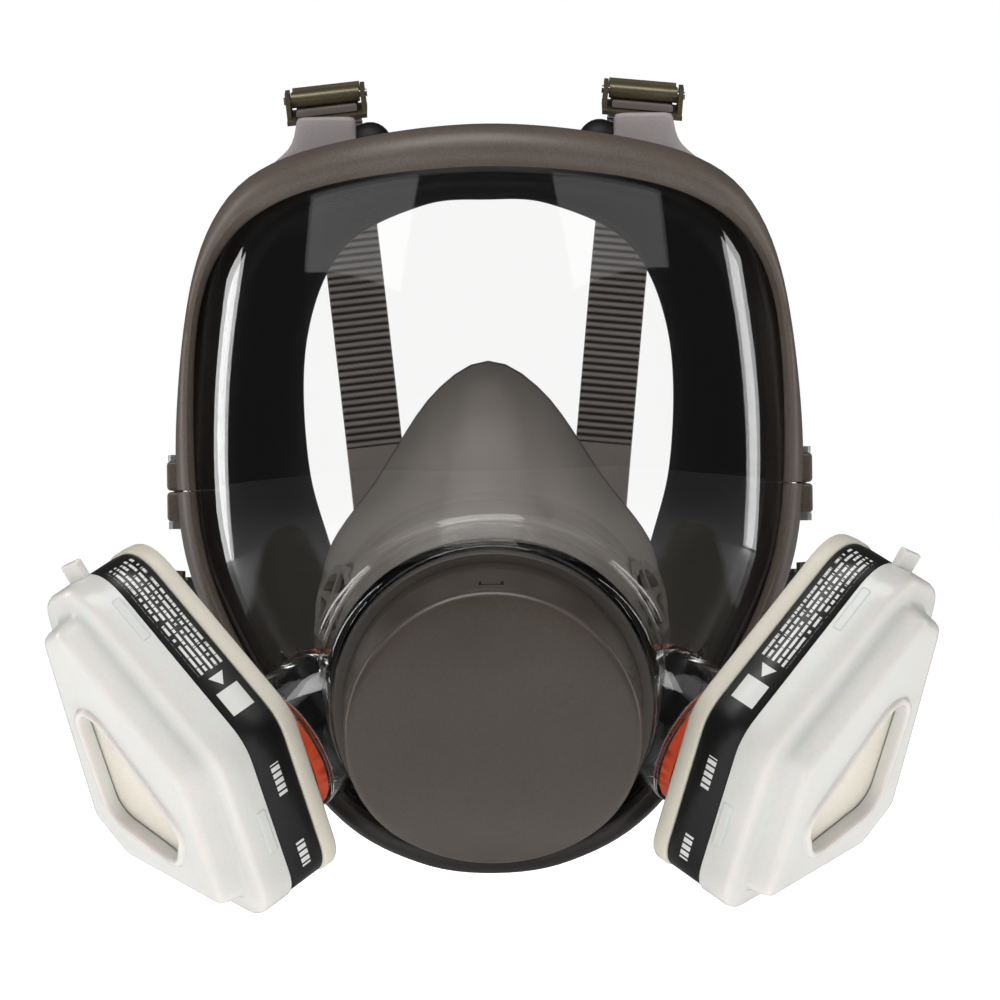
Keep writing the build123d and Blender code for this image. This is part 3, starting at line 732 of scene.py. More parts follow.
# %% Turned pieces
def turned(name, profile, origin, axis, steps=96):
    """A closed profile of (radius, height) points spun once about an axis."""
    turn = Vector(axis).to_track_quat("Z", "Y").to_matrix().to_4x4()
    bm = bmesh.new()
    verts = [bm.verts.new((radius, 0, height)) for radius, height in profile]
    edges = [bm.edges.new((a, b)) for a, b in zip(verts, verts[1:] + verts[:1])]
    bmesh.ops.spin(bm, geom=verts + edges, cent=(0, 0, 0), axis=(0, 0, 1), angle=math.tau, steps=steps,
                   use_merge=True)
    bmesh.ops.transform(bm, matrix=Matrix.Translation(Vector(origin)) @ turn, verts=bm.verts)
    return new_object(name, bm)


SLEEVE_PROFILE = [(18, -34), (20.5, -34), (20.5, -4.5), (20.1, -4.05), (14.5, -4), (14.5, 6.6), (14.1, 7),
                  (12.9, 7), (12.5, 6.6), (12.5, -6.1), (12.9, -6.5), (17.6, -6.5), (18, -6.9)]
CUTTER_SHARES = (1.3, 1.1, 1.0, 0.9, 0.8, 0.65, 0.5, 0.35, 0.2, 0.08)
CUTTER_BACK_Y = 70
BARREL_SIDE_X = 98


def barrel_y(x, z):
    """Depth of the middle of the lens's wall, kept level past the barrel's sides."""
    return lens_y(min(max(x, -BARREL_SIDE_X), BARREL_SIDE_X), z, -1.0)


widest = CUTTER_SHARES[0]
barrel_cutter_rings = [[(p.x * widest, CUTTER_BACK_Y, p.y * widest) for p in LENS_LOOP]]
for share in CUTTER_SHARES:
    scaled = [p * share for p in LENS_LOOP]
    barrel_cutter_rings.append([(p.x, barrel_y(p.x, p.y), p.y) for p in scaled])
FRAME_BACK_Y = -14
BEHIND = (400, 200, 400)
for half in (frame_upper, frame_lower):
    middle = (0, FRAME_BACK_Y + BEHIND[1] / 2, 0)
    cut_away(half, block("cutter", middle, BEHIND, (1, 0, 0), (0, 0, 1)))
pieces_of_lens = [lens_shell]
for name, side in SIDES.items():
    origin = on_port(side, 0, 0, 0)
    axis = on_port(side, 0, 0, 1) - origin
    cut_away(lens_shell, cylinder("cutter", origin, axis, 18.1, -60, -5))
    sleeve = turned(f"{name}_port_sleeve", SLEEVE_PROFILE, origin, axis)
    cut_away(sleeve, new_object("cutter", loft(barrel_cutter_rings, cap_ends=True), smooth=False))
    round_edges(sleeve, 0.3, 2, 50)
    cut_away(frame_lower, cylinder("cutter", origin, axis, 20.8, -60, 10))
    pieces_of_lens.append(sleeve)
for piece in pieces_of_lens:
    piece.data.shade_smooth()
    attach(piece, "facepiece")
    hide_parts("lens")
    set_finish(piece, "lens_clear")
print("port sleeves made")

# %% [markdown]
# ## Exhalation seat
# Behind the cover a brown adapter ring holds the big valve disc. Its section is spun about the
# unit's axis, and a hub on six spokes carries the disc.

# %% Adapter ring and spokes
ADAPTER_PROFILE = [(36.5, -24), (39, -24), (39, 4.2), (44.6, 4.2), (45, 4.6), (45, 8.6), (44.6, 9), (36.5, 9),
                   (36.5, 5), (30, 5), (30, 2), (36.5, 2)]
adapter_pieces = [turned("adapter_ring", ADAPTER_PROFILE, CENTER_ORIGIN, CENTER_OUT)]
adapter_pieces[0].data.shade_flat()
adapter_pieces.append(cylinder("adapter_hub", CENTER_ORIGIN, CENTER_OUT, 5, 2, 5, 32))
for k, angle in enumerate(around(6)):
    middle = on_center(17 * math.cos(angle), 17 * math.sin(angle), 3.5)
    reach = on_center(math.cos(angle), math.sin(angle), 0) - CENTER_ORIGIN
    adapter_pieces.append(block(f"adapter_spoke_{k}", middle, (28, 2.6, 3), reach, CENTER_OUT))
for piece in adapter_pieces:
    round_edges(piece, 0.3, 2, 40)
    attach(piece, "facepiece")
    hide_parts("center_adapter")
    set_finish(piece, "adapter_plastic")
adapter_pieces[0].data.shade_smooth()
print("adapter pieces:", len(adapter_pieces))

# %% [markdown]
# ## Lugs and screws at the temples
# The two halves of the clamp ring are pulled together by a small screw at each temple. The lugs
# they pass through are only a little prouder than the ring. Each is a block that is rounded, and
# the ring half beyond it is opened with a pocket for the screw's head or its nut.

# %% Temple lugs
LUG_X = 95.3
LUG_Y = -22
LUG_HEIGHT = 9
SCREW_X = 96.0
POCKET_RADIUS = 3.4
POCKET_LENGTH = 12
for name, upward in (("upper", 1), ("lower", -1)):
    near = FRAME_SPLIT + upward * FRAME_GAP
    half = frame_upper if upward > 0 else frame_lower
    for side_name, side in SIDES.items():
        centre = (-side * LUG_X, LUG_Y, near + upward * LUG_HEIGHT / 2)
        lug = block(f"{side_name}_lug_{name}", centre, (7.5, 9, LUG_HEIGHT), (1, 0, 0), (0, 0, 1))
        round_edges(lug, 1.2, 3, 50)
        lug.data.shade_smooth()
        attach(lug, "facepiece")
        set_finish(lug, "frame_plastic")
        lug_end = (-side * SCREW_X, LUG_Y, near + upward * LUG_HEIGHT)
        cut_away(half, cylinder("cutter", lug_end, (0, 0, upward), POCKET_RADIUS, 0, POCKET_LENGTH))
    half.data.shade_smooth()
    round_edges(half, 0.4, 2, 55)
print("lugs made")

# %% [markdown]
# ## Gas cartridges
# The body under each cover is a cream moulding with a wider back plate. It is lofted in the
# filter's own frame like the cover. Its top stays open, because the grille and the carbon are
# seen there when the cover is pulled off.

# %% Cartridge bodies
SHELL_PROFILE = [(1.0, 0.0), (0.35, 0.25), (0.0, 0.9), (0.0, 4.3), (0.35, 4.95), (1.0, 5.2), (2.15, 5.25),
                 (2.2, 6.0), (2.2, 23.6), (2.5, 24.0), (3.9, 24.0), (4.2, 23.7), (4.2, 10.2)]
for name, side in SIDES.items():
    rings = [filter_ring(side, out, shrink) for shrink, out in SHELL_PROFILE]
    body = new_object(f"{name}_cartridge_body", loft(rings, cap_ends=True))
    round_edges(body, 0.2, 2, 60)
    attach(body, f"{name}_cartridge")
    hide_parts(f"{name}_cartridge_shell")
    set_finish(body, "cartridge_plastic")
print("cartridge body:", len(body.data.polygons), "faces")

# %% [markdown]
# The label is a black film wrapped round the body. Its print is generic: rows of plain bars, a
# triangle, a plain square and two barred blocks. Two float attributes tell the material where it
# is on the film, in millimetres along it and across it, so the print follows the film round its
# corners.

# %% Label bands with along and across
LABEL_LOW = 5.35
LABEL_HIGH = 17.6


def label_band(side):
    bm = bmesh.new()
    along = bm.verts.layers.float.new("along")
    across = bm.verts.layers.float.new("across")
    loops = []
    for shrink, out in ((2.1, LABEL_LOW), (0.9, LABEL_LOW), (0.6, LABEL_LOW + 0.3), (0.6, LABEL_HIGH - 0.3),
                        (0.9, LABEL_HIGH), (2.1, LABEL_HIGH)):
        points = filter_ring(side, out, shrink)
        edges = ring(bm, points)
        verts = [e.verts[0] for e in edges]
        walked = 0.0
        for k, v in enumerate(verts):
            v[along] = walked
            v[across] = out
            walked += (points[(k + 1) % FILTER_COUNT] - points[k]).length
        loops.append(edges)
    for near, far in zip(loops, loops[1:] + loops[:1]):
        bmesh.ops.bridge_loops(bm, edges=near + far)
    return bm


for name, side in SIDES.items():
    label = new_object(f"{name}_label_wrap", label_band(side))
    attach(label, f"{name}_cartridge")
    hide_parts(f"{name}_label_band")
    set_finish(label, "label_film")
points = filter_ring(1, 10, 0.6)
walked = [0.0]
for a, b in zip(points, points[1:]):
    walked.append(walked[-1] + (b - a).length)
for corner in FILTER_CORNERS:
    at = min(range(FILTER_COUNT), key=lambda k: (points[k] - on_port(1, *corner, 10)).length)
    print("corner", corner, "lies", round(walked[at], 1), "mm along the label")

# %% Clip bars and finger tabs on the filter covers
def side_bar(name, side, u, v, direction, length, height, out, thickness=1.4):
    """A small rounded bar that lies on the side wall of a filter."""
    centre = on_port(side, u, v, out)
    long_axis = on_port(side, u + direction[0], v + direction[1], out) - centre
    out_axis = on_port(side, u, v, out + 1) - centre
    bar = block(name, centre, (length, thickness, height), long_axis, out_axis)
    round_edges(bar, 0.6, 3, 50)
    bar.data.shade_smooth()
    return bar


for name, side in SIDES.items():
    trims = [side_bar(f"{name}_clip_top", side, -55, 19.3, (64, 14), 15, 3.2, 20.6),
             side_bar(f"{name}_clip_low", side, 24.5, -28.5, (-35, -51), 15, 3.2, 20.6),
             side_bar(f"{name}_clip_mid", side, 16, 12.5, (49, -35), 15, 3.2, 20.6),
             side_bar(f"{name}_finger_tab", side, -75.5, 3, (3, 25), 12, 2.2, 19.4, 7)]
    for trim in trims:
        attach(trim, f"{name}_retainer")
        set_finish(trim, "retainer_plastic")
print("clips and finger tabs made")

# %% [markdown]
# ## Harness
# Each strap is a ribbed rubber band. It follows a route of straight runs, whose corners are
# rounded as widely as the runs allow, and only a little beside a buckle. A rectangular section is
# set up at short steps along it. Where the strap is ribbed the section is thinner at every second
# pair of steps, which cuts the grooves; an attribute marks them, so that the finish can paint
# shade down there.

# %% Straps
STRAP_WIDTH = 19.0
STRAP_THICKNESS = 1.8
GROOVE_DEPTH = 0.55
BEND_SHARE = 0.45
BUCKLE_RUN = 18.0
CORNER_STEPS = 16


def rounded_route(points, radius, step=0.6):
    """Evenly spaced points along a route whose corners are rounded, in 2-D."""
    path = [Vector(points[0])]
    for a, b, c in zip(points, points[1:], points[2:]):
        a, b, c = Vector(a), Vector(b), Vector(c)
        before, after = (b - a).normalized(), (c - b).normalized()
        turn = before.angle(after)
        run = min((b - a).length, (c - b).length)
        reach = radius * math.tan(turn / 2) if run < BUCKLE_RUN else BEND_SHARE * run
        for k in range(CORNER_STEPS + 1):
            t = k / CORNER_STEPS
            start, end = b - before * reach, b + after * reach
            path.append(start * (1 - t) ** 2 + b * 2 * t * (1 - t) + end * t ** 2)
    path.append(Vector(points[-1]))
    out = [path[0]]
    carry = 0.0
    for a, b in zip(path, path[1:]):
        length = (b - a).length
        at = step - carry
        while at <= length:
            out.append(a.lerp(b, at / length))
            at += step
        carry = length - (at - step)
    return out


def strap_band(route, radius, place, ribbed):
    """A band along a route; place puts (along route plane, across) into space."""
    bm = bmesh.new()
    groove_shade = bm.verts.layers.float.new("groove_shade")
    path = rounded_route(route, radius)
    half = STRAP_WIDTH / 2
    loops = []
    for k, p in enumerate(path):
        ahead = (path[min(k + 1, len(path) - 1)] - path[max(k - 1, 0)]).normalized()
        left = Vector((-ahead.y, ahead.x))
        # Where the section is cut, the groove mark is set, and the finish paints shade there.
        cut = GROOVE_DEPTH if ribbed(p) and k % 4 >= 2 else 0.0
        low, high = cut, STRAP_THICKNESS - cut
        section = [(-half + 0.4, low), (half - 0.4, low), (half, low + 0.4), (half, high - 0.4),
                   (half - 0.4, high), (-half + 0.4, high), (-half, high - 0.4), (-half, low + 0.4)]
        edges = ring(bm, [place(p + left * lift, across) for across, lift in section])
        for e in edges:
            for v in e.verts:
                v[groove_shade] = 1.0 if cut else 0.0
        loops.append(edges)
    for near, far in zip(loops, loops[1:]):
        bmesh.ops.bridge_loops(bm, edges=near + far)
    bmesh.ops.contextual_create(bm, geom=loops[0])
    bmesh.ops.contextual_create(bm, geom=loops[-1])
    return bm


UPPER_ROUTE = [(-15.1, -0.55), (-0.1, 4.85), (22, 3.0), (44, -12), (58, -42), (61.5, -90), (61.5, -141)]
LOWER_ROUTE = [(-102.14, 26.77), (-109.34, 41.05), (-103, 60), (-66, 67.9), (-25, 67.9)]
UPPER_RADIUS = 12
LOWER_RADIUS = 9
UPPER_FOOT = Vector((-49, 0, 121))
UPPER_RUN = Vector((-14, 0, 141)).normalized()
UPPER_SQUARE = Vector((0, 1, 0)).cross(UPPER_RUN)
RIBS_END_Z = 18.0
LOWER_RIBS_Y = 45
LOWER_STRAP_Z = -34


def place_upper(side):
    def place(p, across):
        q = UPPER_FOOT + Vector((0, p.x, 0)) + UPPER_RUN * p.y + UPPER_SQUARE * across
        return Vector((q.x * side, q.y, q.z))
    return place


def place_lower(side):
    return lambda p, across: Vector((p.x * side, p.y, LOWER_STRAP_Z + across))


def upper_ribbed(p):
    return p.x > 2 and p.y > RIBS_END_Z - UPPER_FOOT.z


def lower_ribbed(p):
    return p.y > LOWER_RIBS_Y


for name, side in SIDES.items():
    band = strap_band(UPPER_ROUTE, UPPER_RADIUS, place_upper(side), upper_ribbed)
    upper = new_object(f"{name}_upper_strap_band", band, smooth=False)
    band = strap_band(LOWER_ROUTE, LOWER_RADIUS, place_lower(side), lower_ribbed)
    lower = new_object(f"{name}_lower_strap_band", band, smooth=False)
    for piece, node in ((upper, "upper_strap"), (lower, "lower_strap")):
        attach(piece, "facepiece")
        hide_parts(f"{name}_{node}")
        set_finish(piece, "strap_rubber")
print("strap:", len(upper.data.polygons), "faces each")

# %% Crown pad: a rounded plate with a raised border
PAD_Y = 63.4
PAD_THICKNESS = 4.4
PAD_CORNERS = [(-40, -70), (-40, -4), (40, -4), (40, -70)]


def pad_ring(y, shrink):
    loop = by_angle(rounded_corners(PAD_CORNERS, 14, shrink), (0, -37), 96)
    return [(p.x, y, p.y) for p in loop]


PAD_SECTION = [(1.2, 12), (1.2, 7), (0.2, 6), (0, 5), (0, 1.4), (0.4, 0.4), (1.4, 0), (3.0, 0), (4.0, 0.4),
               (PAD_THICKNESS, 1.4), (PAD_THICKNESS, 12)]
pad_rings = [pad_ring(PAD_Y + back, shrink) for back, shrink in PAD_SECTION]
crown_pad = new_object("crown_pad_plate", loft(pad_rings, cap_ends=True))
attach(crown_pad, "facepiece")
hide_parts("crown_pad")
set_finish(crown_pad, "strap_rubber")
print("crown pad:", len(crown_pad.data.polygons), "faces")

# %% [markdown]
# ## Strap tabs
# Rubber ears grow out of the seal and carry the buckles. Each is lofted from a wide foot to a
# narrow neck through rounded sections, and a subdivision surface makes it soft.

# %% Tabs
def section(half_wide, half_deep, corner=0.45, count=24):
    """A rounded section: a superellipse of two half sizes."""
    out = []
    for k in range(count):
        c, s = math.cos(math.tau * k / count), math.sin(math.tau * k / count)
        out.append((half_wide * math.copysign(abs(c) ** corner, c),
                    half_deep * math.copysign(abs(s) ** corner, s)))
    return out


UPPER_TAB = [(98, -51.5, 17.5, -18.5, 3.2), (102.5, -51.2, 17.0, -19.2, 3.4),
             (105.5, -50.4, 14.5, -19.4, 3.3), (109, -49.6, 10.8, -19.5, 3.1), (113, -49.2, 9.6, -19.5, 2.9),
             (118.2, -49, 9.2, -19.5, 2.7), (119, -49, 8.6, -19.5, 2.3)]
LOWER_TAB = [(0, 13, 5.0), (0.2, 12, 4.4), (0.5, 10.3, 3.3), (0.8, 9.3, 2.7), (0.97, 9, 2.5), (1, 8.4, 2.1)]
LOWER_TAB_LENGTH = 22
LOWER_TAB_FOOT = Vector((-90, 6, -34))
LOWER_TAB_RUN = Vector((-0.45, 0.893, 0))
LOWER_TAB_SIDE = Vector((0.893, 0.45, 0))
for name, side in SIDES.items():
    rings = []
    for z, x, wide, y, deep in UPPER_TAB:
        rings.append([(side * (x + dx), y + dy, z) for dx, dy in section(wide, deep)])
    upper = new_object(f"{name}_upper_tab", loft(rings, cap_ends=True))
    rings = []
    for share, wide, deep in LOWER_TAB:
        base = LOWER_TAB_FOOT + LOWER_TAB_RUN * LOWER_TAB_LENGTH * share
        ring_points = [base + LOWER_TAB_SIDE * (dy + 1.5 * (1 - share)) + Vector((0, 0, dx))
                       for dx, dy in section(wide, deep)]
        rings.append([(side * p.x, p.y, p.z) for p in ring_points])
    lower = new_object(f"{name}_lower_tab", loft(rings, cap_ends=True))
    for piece, node in ((upper, "upper_strap_tab"), (lower, "lower_strap_tab")):
        subdivide(piece, 1)
        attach(piece, "facepiece")
        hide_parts(f"{name}_{node}")
    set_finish(upper, "tab_rubber")
    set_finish(lower, "seal_rubber")
    bm = bmesh.new()
    bmesh.ops.create_uvsphere(bm, u_segments=24, v_segments=16, radius=1)
    bmesh.ops.scale(bm, vec=(7, 6, 7.6), verts=bm.verts)
    bmesh.ops.translate(bm, vec=(side * -35.5, -17, 110), verts=bm.verts)
    lump = new_object(f"{name}_brow_lump", bm)
    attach(lump, "facepiece")
    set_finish(lump, "seal_rubber")
print("tabs and lumps made")

# %% [markdown]
# ## Finishes
# A moulded surface is never one flat colour. Two small node groups carry what the finishes
# share: a cloudy tint with fine speckle, and a fine grain whose height goes to a Bump node. Each
# finish places them with its own colours and scale.

# %% Shared effects
def group_socket(group, name, kind, inout, value=None):
    socket = group.interface.new_socket(name=name, in_out=inout, socket_type=kind)
    if value is not None:
        socket.default_value = value


def new_group(name, inputs, outputs):
    """A shader group with named inputs and their values, and named outputs."""
    group = bpy.data.node_groups.new(name, "ShaderNodeTree")
    for title, (kind, value) in inputs.items():
        group_socket(group, title, kind, "INPUT", value)
    for title, kind in outputs.items():
        group_socket(group, title, kind, "OUTPUT")
    return group, group.nodes.new("NodeGroupInput"), group.nodes.new("NodeGroupOutput")


def add_node(tree, kind, **values):
    """A shader node whose named inputs are given their values."""
    node = tree.nodes.new("ShaderNode" + kind)
    for key, value in values.items():
        node.inputs[key.replace("_", " ")].default_value = value
    return node


def wire(tree, *wires):
    """Join sockets; each wire is a node and its output, then a node and its input."""
    for source, output, sink, socket in wires:
        tree.links.new(source.outputs[output], sink.inputs[socket])


COLOR = "NodeSocketColor"
FLOAT = "NodeSocketFloat"


def mix_node(tree, data_type):
    node = add_node(tree, "Mix")
    node.data_type = data_type
    return node


def clouded_tint():
    """Colour that drifts slowly between two tints, with a fine speckle on top."""
    group, source, sink = new_group("clouded tint", {
        "Light": (COLOR, (0.8, 0.8, 0.8, 1)), "Dark": (COLOR, (0.6, 0.6, 0.6, 1)),
        "Cloud Scale": (FLOAT, 30.0), "Speckle Scale": (FLOAT, 1500.0), "Speckle": (FLOAT, 0.3)},
        {"Color": COLOR})
    place = add_node(group, "TexCoord")
    cloud = add_node(group, "TexNoise", Detail=3)
    speckle = add_node(group, "TexNoise", Detail=1)
    blend = mix_node(group, "FLOAT")
    ramp = add_node(group, "MapRange", From_Min=0.3, From_Max=0.7)
    tint = mix_node(group, "RGBA")
    wire(group, (place, "Object", cloud, "Vector"), (place, "Object", speckle, "Vector"),
         (source, "Cloud Scale", cloud, "Scale"), (source, "Speckle Scale", speckle, "Scale"),
         (source, "Speckle", blend, "Factor"), (cloud, "Fac", blend, "A"), (speckle, "Fac", blend, "B"),
         (blend, "Result", ramp, "Value"), (ramp, "Result", tint, "Factor"),
         (source, "Light", tint, "A"), (source, "Dark", tint, "B"), (tint, "Result", sink, "Color"))
    return group


def fine_grain():
    """Height of a fine moulded grain and a roughness that follows it."""
    group, source, sink = new_group("fine grain", {
        "Scale": (FLOAT, 900.0), "Smoothest": (FLOAT, 0.35), "Roughest": (FLOAT, 0.5)},
        {"Height": FLOAT, "Roughness": FLOAT})
    place = add_node(group, "TexCoord")
    cells = add_node(group, "TexVoronoi")
    patches = add_node(group, "TexNoise", Scale=45)
    spread = add_node(group, "MapRange")
    wire(group, (place, "Object", cells, "Vector"), (place, "Object", patches, "Vector"),
         (source, "Scale", cells, "Scale"), (patches, "Fac", spread, "Value"),
         (source, "Smoothest", spread, "To Min"), (source, "Roughest", spread, "To Max"),
         (cells, "Distance", sink, "Height"), (spread, "Result", sink, "Roughness"))
    return group


TINT = clouded_tint()
GRAIN = fine_grain()
print("shared effects:", TINT.name, "and", GRAIN.name)


# %% A moulded finish
def placed_group(tree, group, **values):
    """A shared effect placed in a material with its own values."""
    node = tree.nodes.new("ShaderNodeGroup")
    node.node_tree = group
    for key, value in values.items():
        node.inputs[key.replace("_", " ")].default_value = value
    return node


def moulded(name, light, dark, smoothest, roughest, grain_scale=900.0, grain_height=0.02, speckle=0.3,
            cloud_scale=30.0, **constants):
    """A Principled material with clouded colour, uneven gloss and fine grain."""
    material = bpy.data.materials.new(name)
    material.use_nodes = True
    tree = material.node_tree
    shader = tree.nodes["Principled BSDF"]
    tint = placed_group(tree, TINT, Light=(*light, 1), Dark=(*dark, 1), Cloud_Scale=cloud_scale,
                        Speckle=speckle)
    grain = placed_group(tree, GRAIN, Scale=grain_scale, Smoothest=smoothest, Roughest=roughest)
    bump = add_node(tree, "Bump", Strength=0.6, Distance=grain_height * MM)
    wire(tree, (tint, "Color", shader, "Base Color"), (grain, "Roughness", shader, "Roughness"),
         (grain, "Height", bump, "Height"), (bump, "Normal", shader, "Normal"))
    for key, value in constants.items():
        shader.inputs[key.replace("_", " ")].default_value = value
    return material


FINISHES = {
    "frame_plastic": moulded("frame plastic", (0.118, 0.094, 0.076), (0.074, 0.058, 0.046), 0.33, 0.48,
                              speckle=0.6),
    "steel": moulded("plated steel", (0.5, 0.5, 0.5), (0.38, 0.38, 0.38), 0.25, 0.4, Metallic=1.0),
    "seal_rubber": moulded("seal rubber", (0.009, 0.0072, 0.0075), (0.005, 0.004, 0.0042), 0.42, 0.52,
                           900, 0.0008, Specular_IOR_Level=0.22),
    "cup_rubber": moulded("cup rubber", (0.150, 0.136, 0.124), (0.118, 0.105, 0.096), 0.42, 0.55,
                          1100, 0.008),
    "adapter_plastic": moulded("adapter plastic", (0.058, 0.048, 0.040), (0.040, 0.033, 0.028), 0.35, 0.5),
    "cover_plastic": moulded("cover plastic", (0.062, 0.050, 0.040), (0.044, 0.035, 0.028), 0.24, 0.34,
                             speckle=0.5),
    "valve_rubber": moulded("valve rubber", (0.030, 0.026, 0.024), (0.018, 0.016, 0.015), 0.35, 0.5),
    "tab_rubber": moulded("tab rubber", (0.36, 0.32, 0.32), (0.28, 0.245, 0.247), 0.42, 0.55),
    "seat_plastic": moulded("seat plastic", (0.10, 0.09, 0.082), (0.07, 0.062, 0.056), 0.4, 0.5),
    "gasket_rubber": moulded("gasket rubber", (0.70, 0.085, 0.028), (0.52, 0.055, 0.02), 0.35, 0.5),
    "cartridge_plastic": moulded("cartridge plastic", (0.66, 0.625, 0.53), (0.60, 0.565, 0.475), 0.35, 0.5,
                                 Subsurface_Weight=0.1, Subsurface_Scale=0.002),
    "label_film": moulded("label film", (0.010, 0.0095, 0.0095), (0.006, 0.006, 0.006), 0.28, 0.4,
                          grain_height=0.004),
    "carbon": moulded("carbon", (0.012, 0.012, 0.012), (0.006, 0.006, 0.006), 0.6, 0.8, 500, 0.3),
    "retainer_plastic": moulded("retainer plastic", (0.70, 0.69, 0.665), (0.62, 0.61, 0.585), 0.18, 0.3,
                                grain_height=0.004, cloud_scale=14.0, Subsurface_Weight=0.3,
                                Subsurface_Scale=0.004),
    "filter_felt": moulded("filter felt", (0.72, 0.68, 0.59), (0.63, 0.59, 0.50), 0.85, 0.95, 1400, 0.25,
                           Sheen_Weight=0.3),
    "buckle_metal": moulded("bronze lacquer", (0.17, 0.145, 0.085), (0.10, 0.085, 0.05), 0.28, 0.42,
                            Metallic=0.55),
    "strap_rubber": moulded("strap rubber", (0.21, 0.18, 0.165), (0.16, 0.138, 0.126), 0.4, 0.52),
}
print("moulded finishes:", len(FINISHES))


# %% [markdown]
# Three finishes carry more than their moulding. The clamp ring turns nearly black towards the
# chin, which the height in object coordinates gives: painted shade where it faces down, and in part
# the black of the seal's chin over it. The straps have painted shade in their grooves, and the label
# shows its print; both read an attribute of their own mesh.

# %% Helpers for extra masks
def tree_of(name):
    material = FINISHES[name]
    return material.node_tree.nodes, material.node_tree.links.new


def ramp_node(nodes, link, source, low, high):
    """A mask that rises from 0 to 1 between two values."""
    ramp = nodes.new("ShaderNodeMapRange")
    ramp.inputs["From Min"].default_value = low
    ramp.inputs["From Max"].default_value = high
    link(source, ramp.inputs["Value"])
    return ramp.outputs["Result"]


def combine(nodes, link, operation, a, b):
    """One arithmetic step; either side may be a socket or a number."""
    step = nodes.new("ShaderNodeMath")
    step.operation = operation
    for socket, value in zip(step.inputs, (a, b)):
        if isinstance(value, (int, float)):
            socket.default_value = value
        else:
            link(value, socket)
    return step.outputs["Value"]


def tint_over(name, mask, colour):
    """Lay a colour over a finish's base colour where the mask is 1."""
    nodes, link = tree_of(name)
    base = nodes["Principled BSDF"].inputs["Base Color"]
    below = base.links[0].from_socket
    over = nodes.new("ShaderNodeMix")
    over.data_type = "RGBA"
    over.inputs["B"].default_value = (*colour, 1)
    link(mask, over.inputs["Factor"])
    link(below, over.inputs["A"])
    link(over.outputs["Result"], base)


def attribute_of(nodes, name):
    read = nodes.new("ShaderNodeAttribute")
    read.attribute_name = name
    return read.outputs["Fac"]


# %% Chin shade, groove shade and print
nodes, link = tree_of("frame_plastic")
place = nodes.new("ShaderNodeTexCoord")
split = nodes.new("ShaderNodeSeparateXYZ")
link(place.outputs["Object"], split.inputs["Vector"])
# Painted shade: the ring darkens to near black towards the chin, where it faces down; in part this also
# stands for the seal's black chin over it.
tint_over("frame_plastic", ramp_node(nodes, link, split.outputs["Z"], -0.052, -0.092), (0.016, 0.013, 0.012))

nodes, link = tree_of("strap_rubber")
# Painted shade: the strap's grooves are darkened to near black.
tint_over("strap_rubber", attribute_of(nodes, "groove_shade"), (0.012, 0.010, 0.010))

TEXT_ALONG, TEXT_ACROSS = (85.0, 127.0), (7.0, 15.8)
SQUARE_ALONG, SQUARE_ACROSS = (70, 78), (7.6, 15.2)
TRIANGLE_ALONG, TRIANGLE_MIDDLE, TRIANGLE_SLOPE = (79.3, 83), 11.4, 0.7
BLOCKS_ALONG, BLOCKS_ACROSS, BLOCK_PITCH = ((40, 51), (14, 22.8)), (9.8, 12.8), 2.2
ROW_PITCH = 1.75
nodes, link = tree_of("label_film")


def label_math(operation, a, b=0):
    return combine(nodes, link, operation, a, b)


def between(value, limits):
    """1 where a value lies between two limits."""
    return label_math("MULTIPLY", label_math("GREATER_THAN", value, limits[0]),
                      label_math("LESS_THAN", value, limits[1]))


def inside(along_limits, across_limits):
    return label_math("MULTIPLY", between(along, along_limits), between(across, across_limits))


along = attribute_of(nodes, "along")
across = attribute_of(nodes, "across")
row = label_math("DIVIDE", across, ROW_PITCH)
in_row = label_math("LESS_THAN", label_math("FRACT", row), 0.5)
words = nodes.new("ShaderNodeTexNoise")
words.noise_dimensions = "2D"
words.inputs["Scale"].default_value = 0.9
words.inputs["Detail"].default_value = 2
spot = nodes.new("ShaderNodeCombineXYZ")
link(along, spot.inputs["X"])
link(label_math("MULTIPLY", label_math("FLOOR", row), 7.3), spot.inputs["Y"])
link(spot.outputs["Vector"], words.inputs["Vector"])
rows = label_math("MULTIPLY", in_row, label_math("GREATER_THAN", words.outputs["Fac"], 0.44))
printed = label_math("MULTIPLY", rows, inside(TEXT_ALONG, TEXT_ACROSS))
square = inside(SQUARE_ALONG, SQUARE_ACROSS)
slope = label_math("MULTIPLY", label_math("SUBTRACT", along, TRIANGLE_ALONG[0]), TRIANGLE_SLOPE)
off_middle = label_math("ABSOLUTE", label_math("SUBTRACT", across, TRIANGLE_MIDDLE))
triangle = label_math("MULTIPLY", between(along, TRIANGLE_ALONG), label_math("LESS_THAN", off_middle, slope))
blocks = label_math("LESS_THAN", label_math("FRACT", label_math("DIVIDE", along, BLOCK_PITCH)), 0.7)
places = label_math("MAXIMUM", between(along, BLOCKS_ALONG[0]), between(along, BLOCKS_ALONG[1]))
bars = label_math("MULTIPLY", blocks, label_math("MULTIPLY", places, between(across, BLOCKS_ACROSS)))
upper_print = label_math("MAXIMUM", printed, square)
print_mask = label_math("MAXIMUM", upper_print, label_math("MAXIMUM", triangle, bars))
tint_over("label_film", print_mask, (0.70, 0.70, 0.68))
print("masks laid over the clamp ring, the straps and the label")


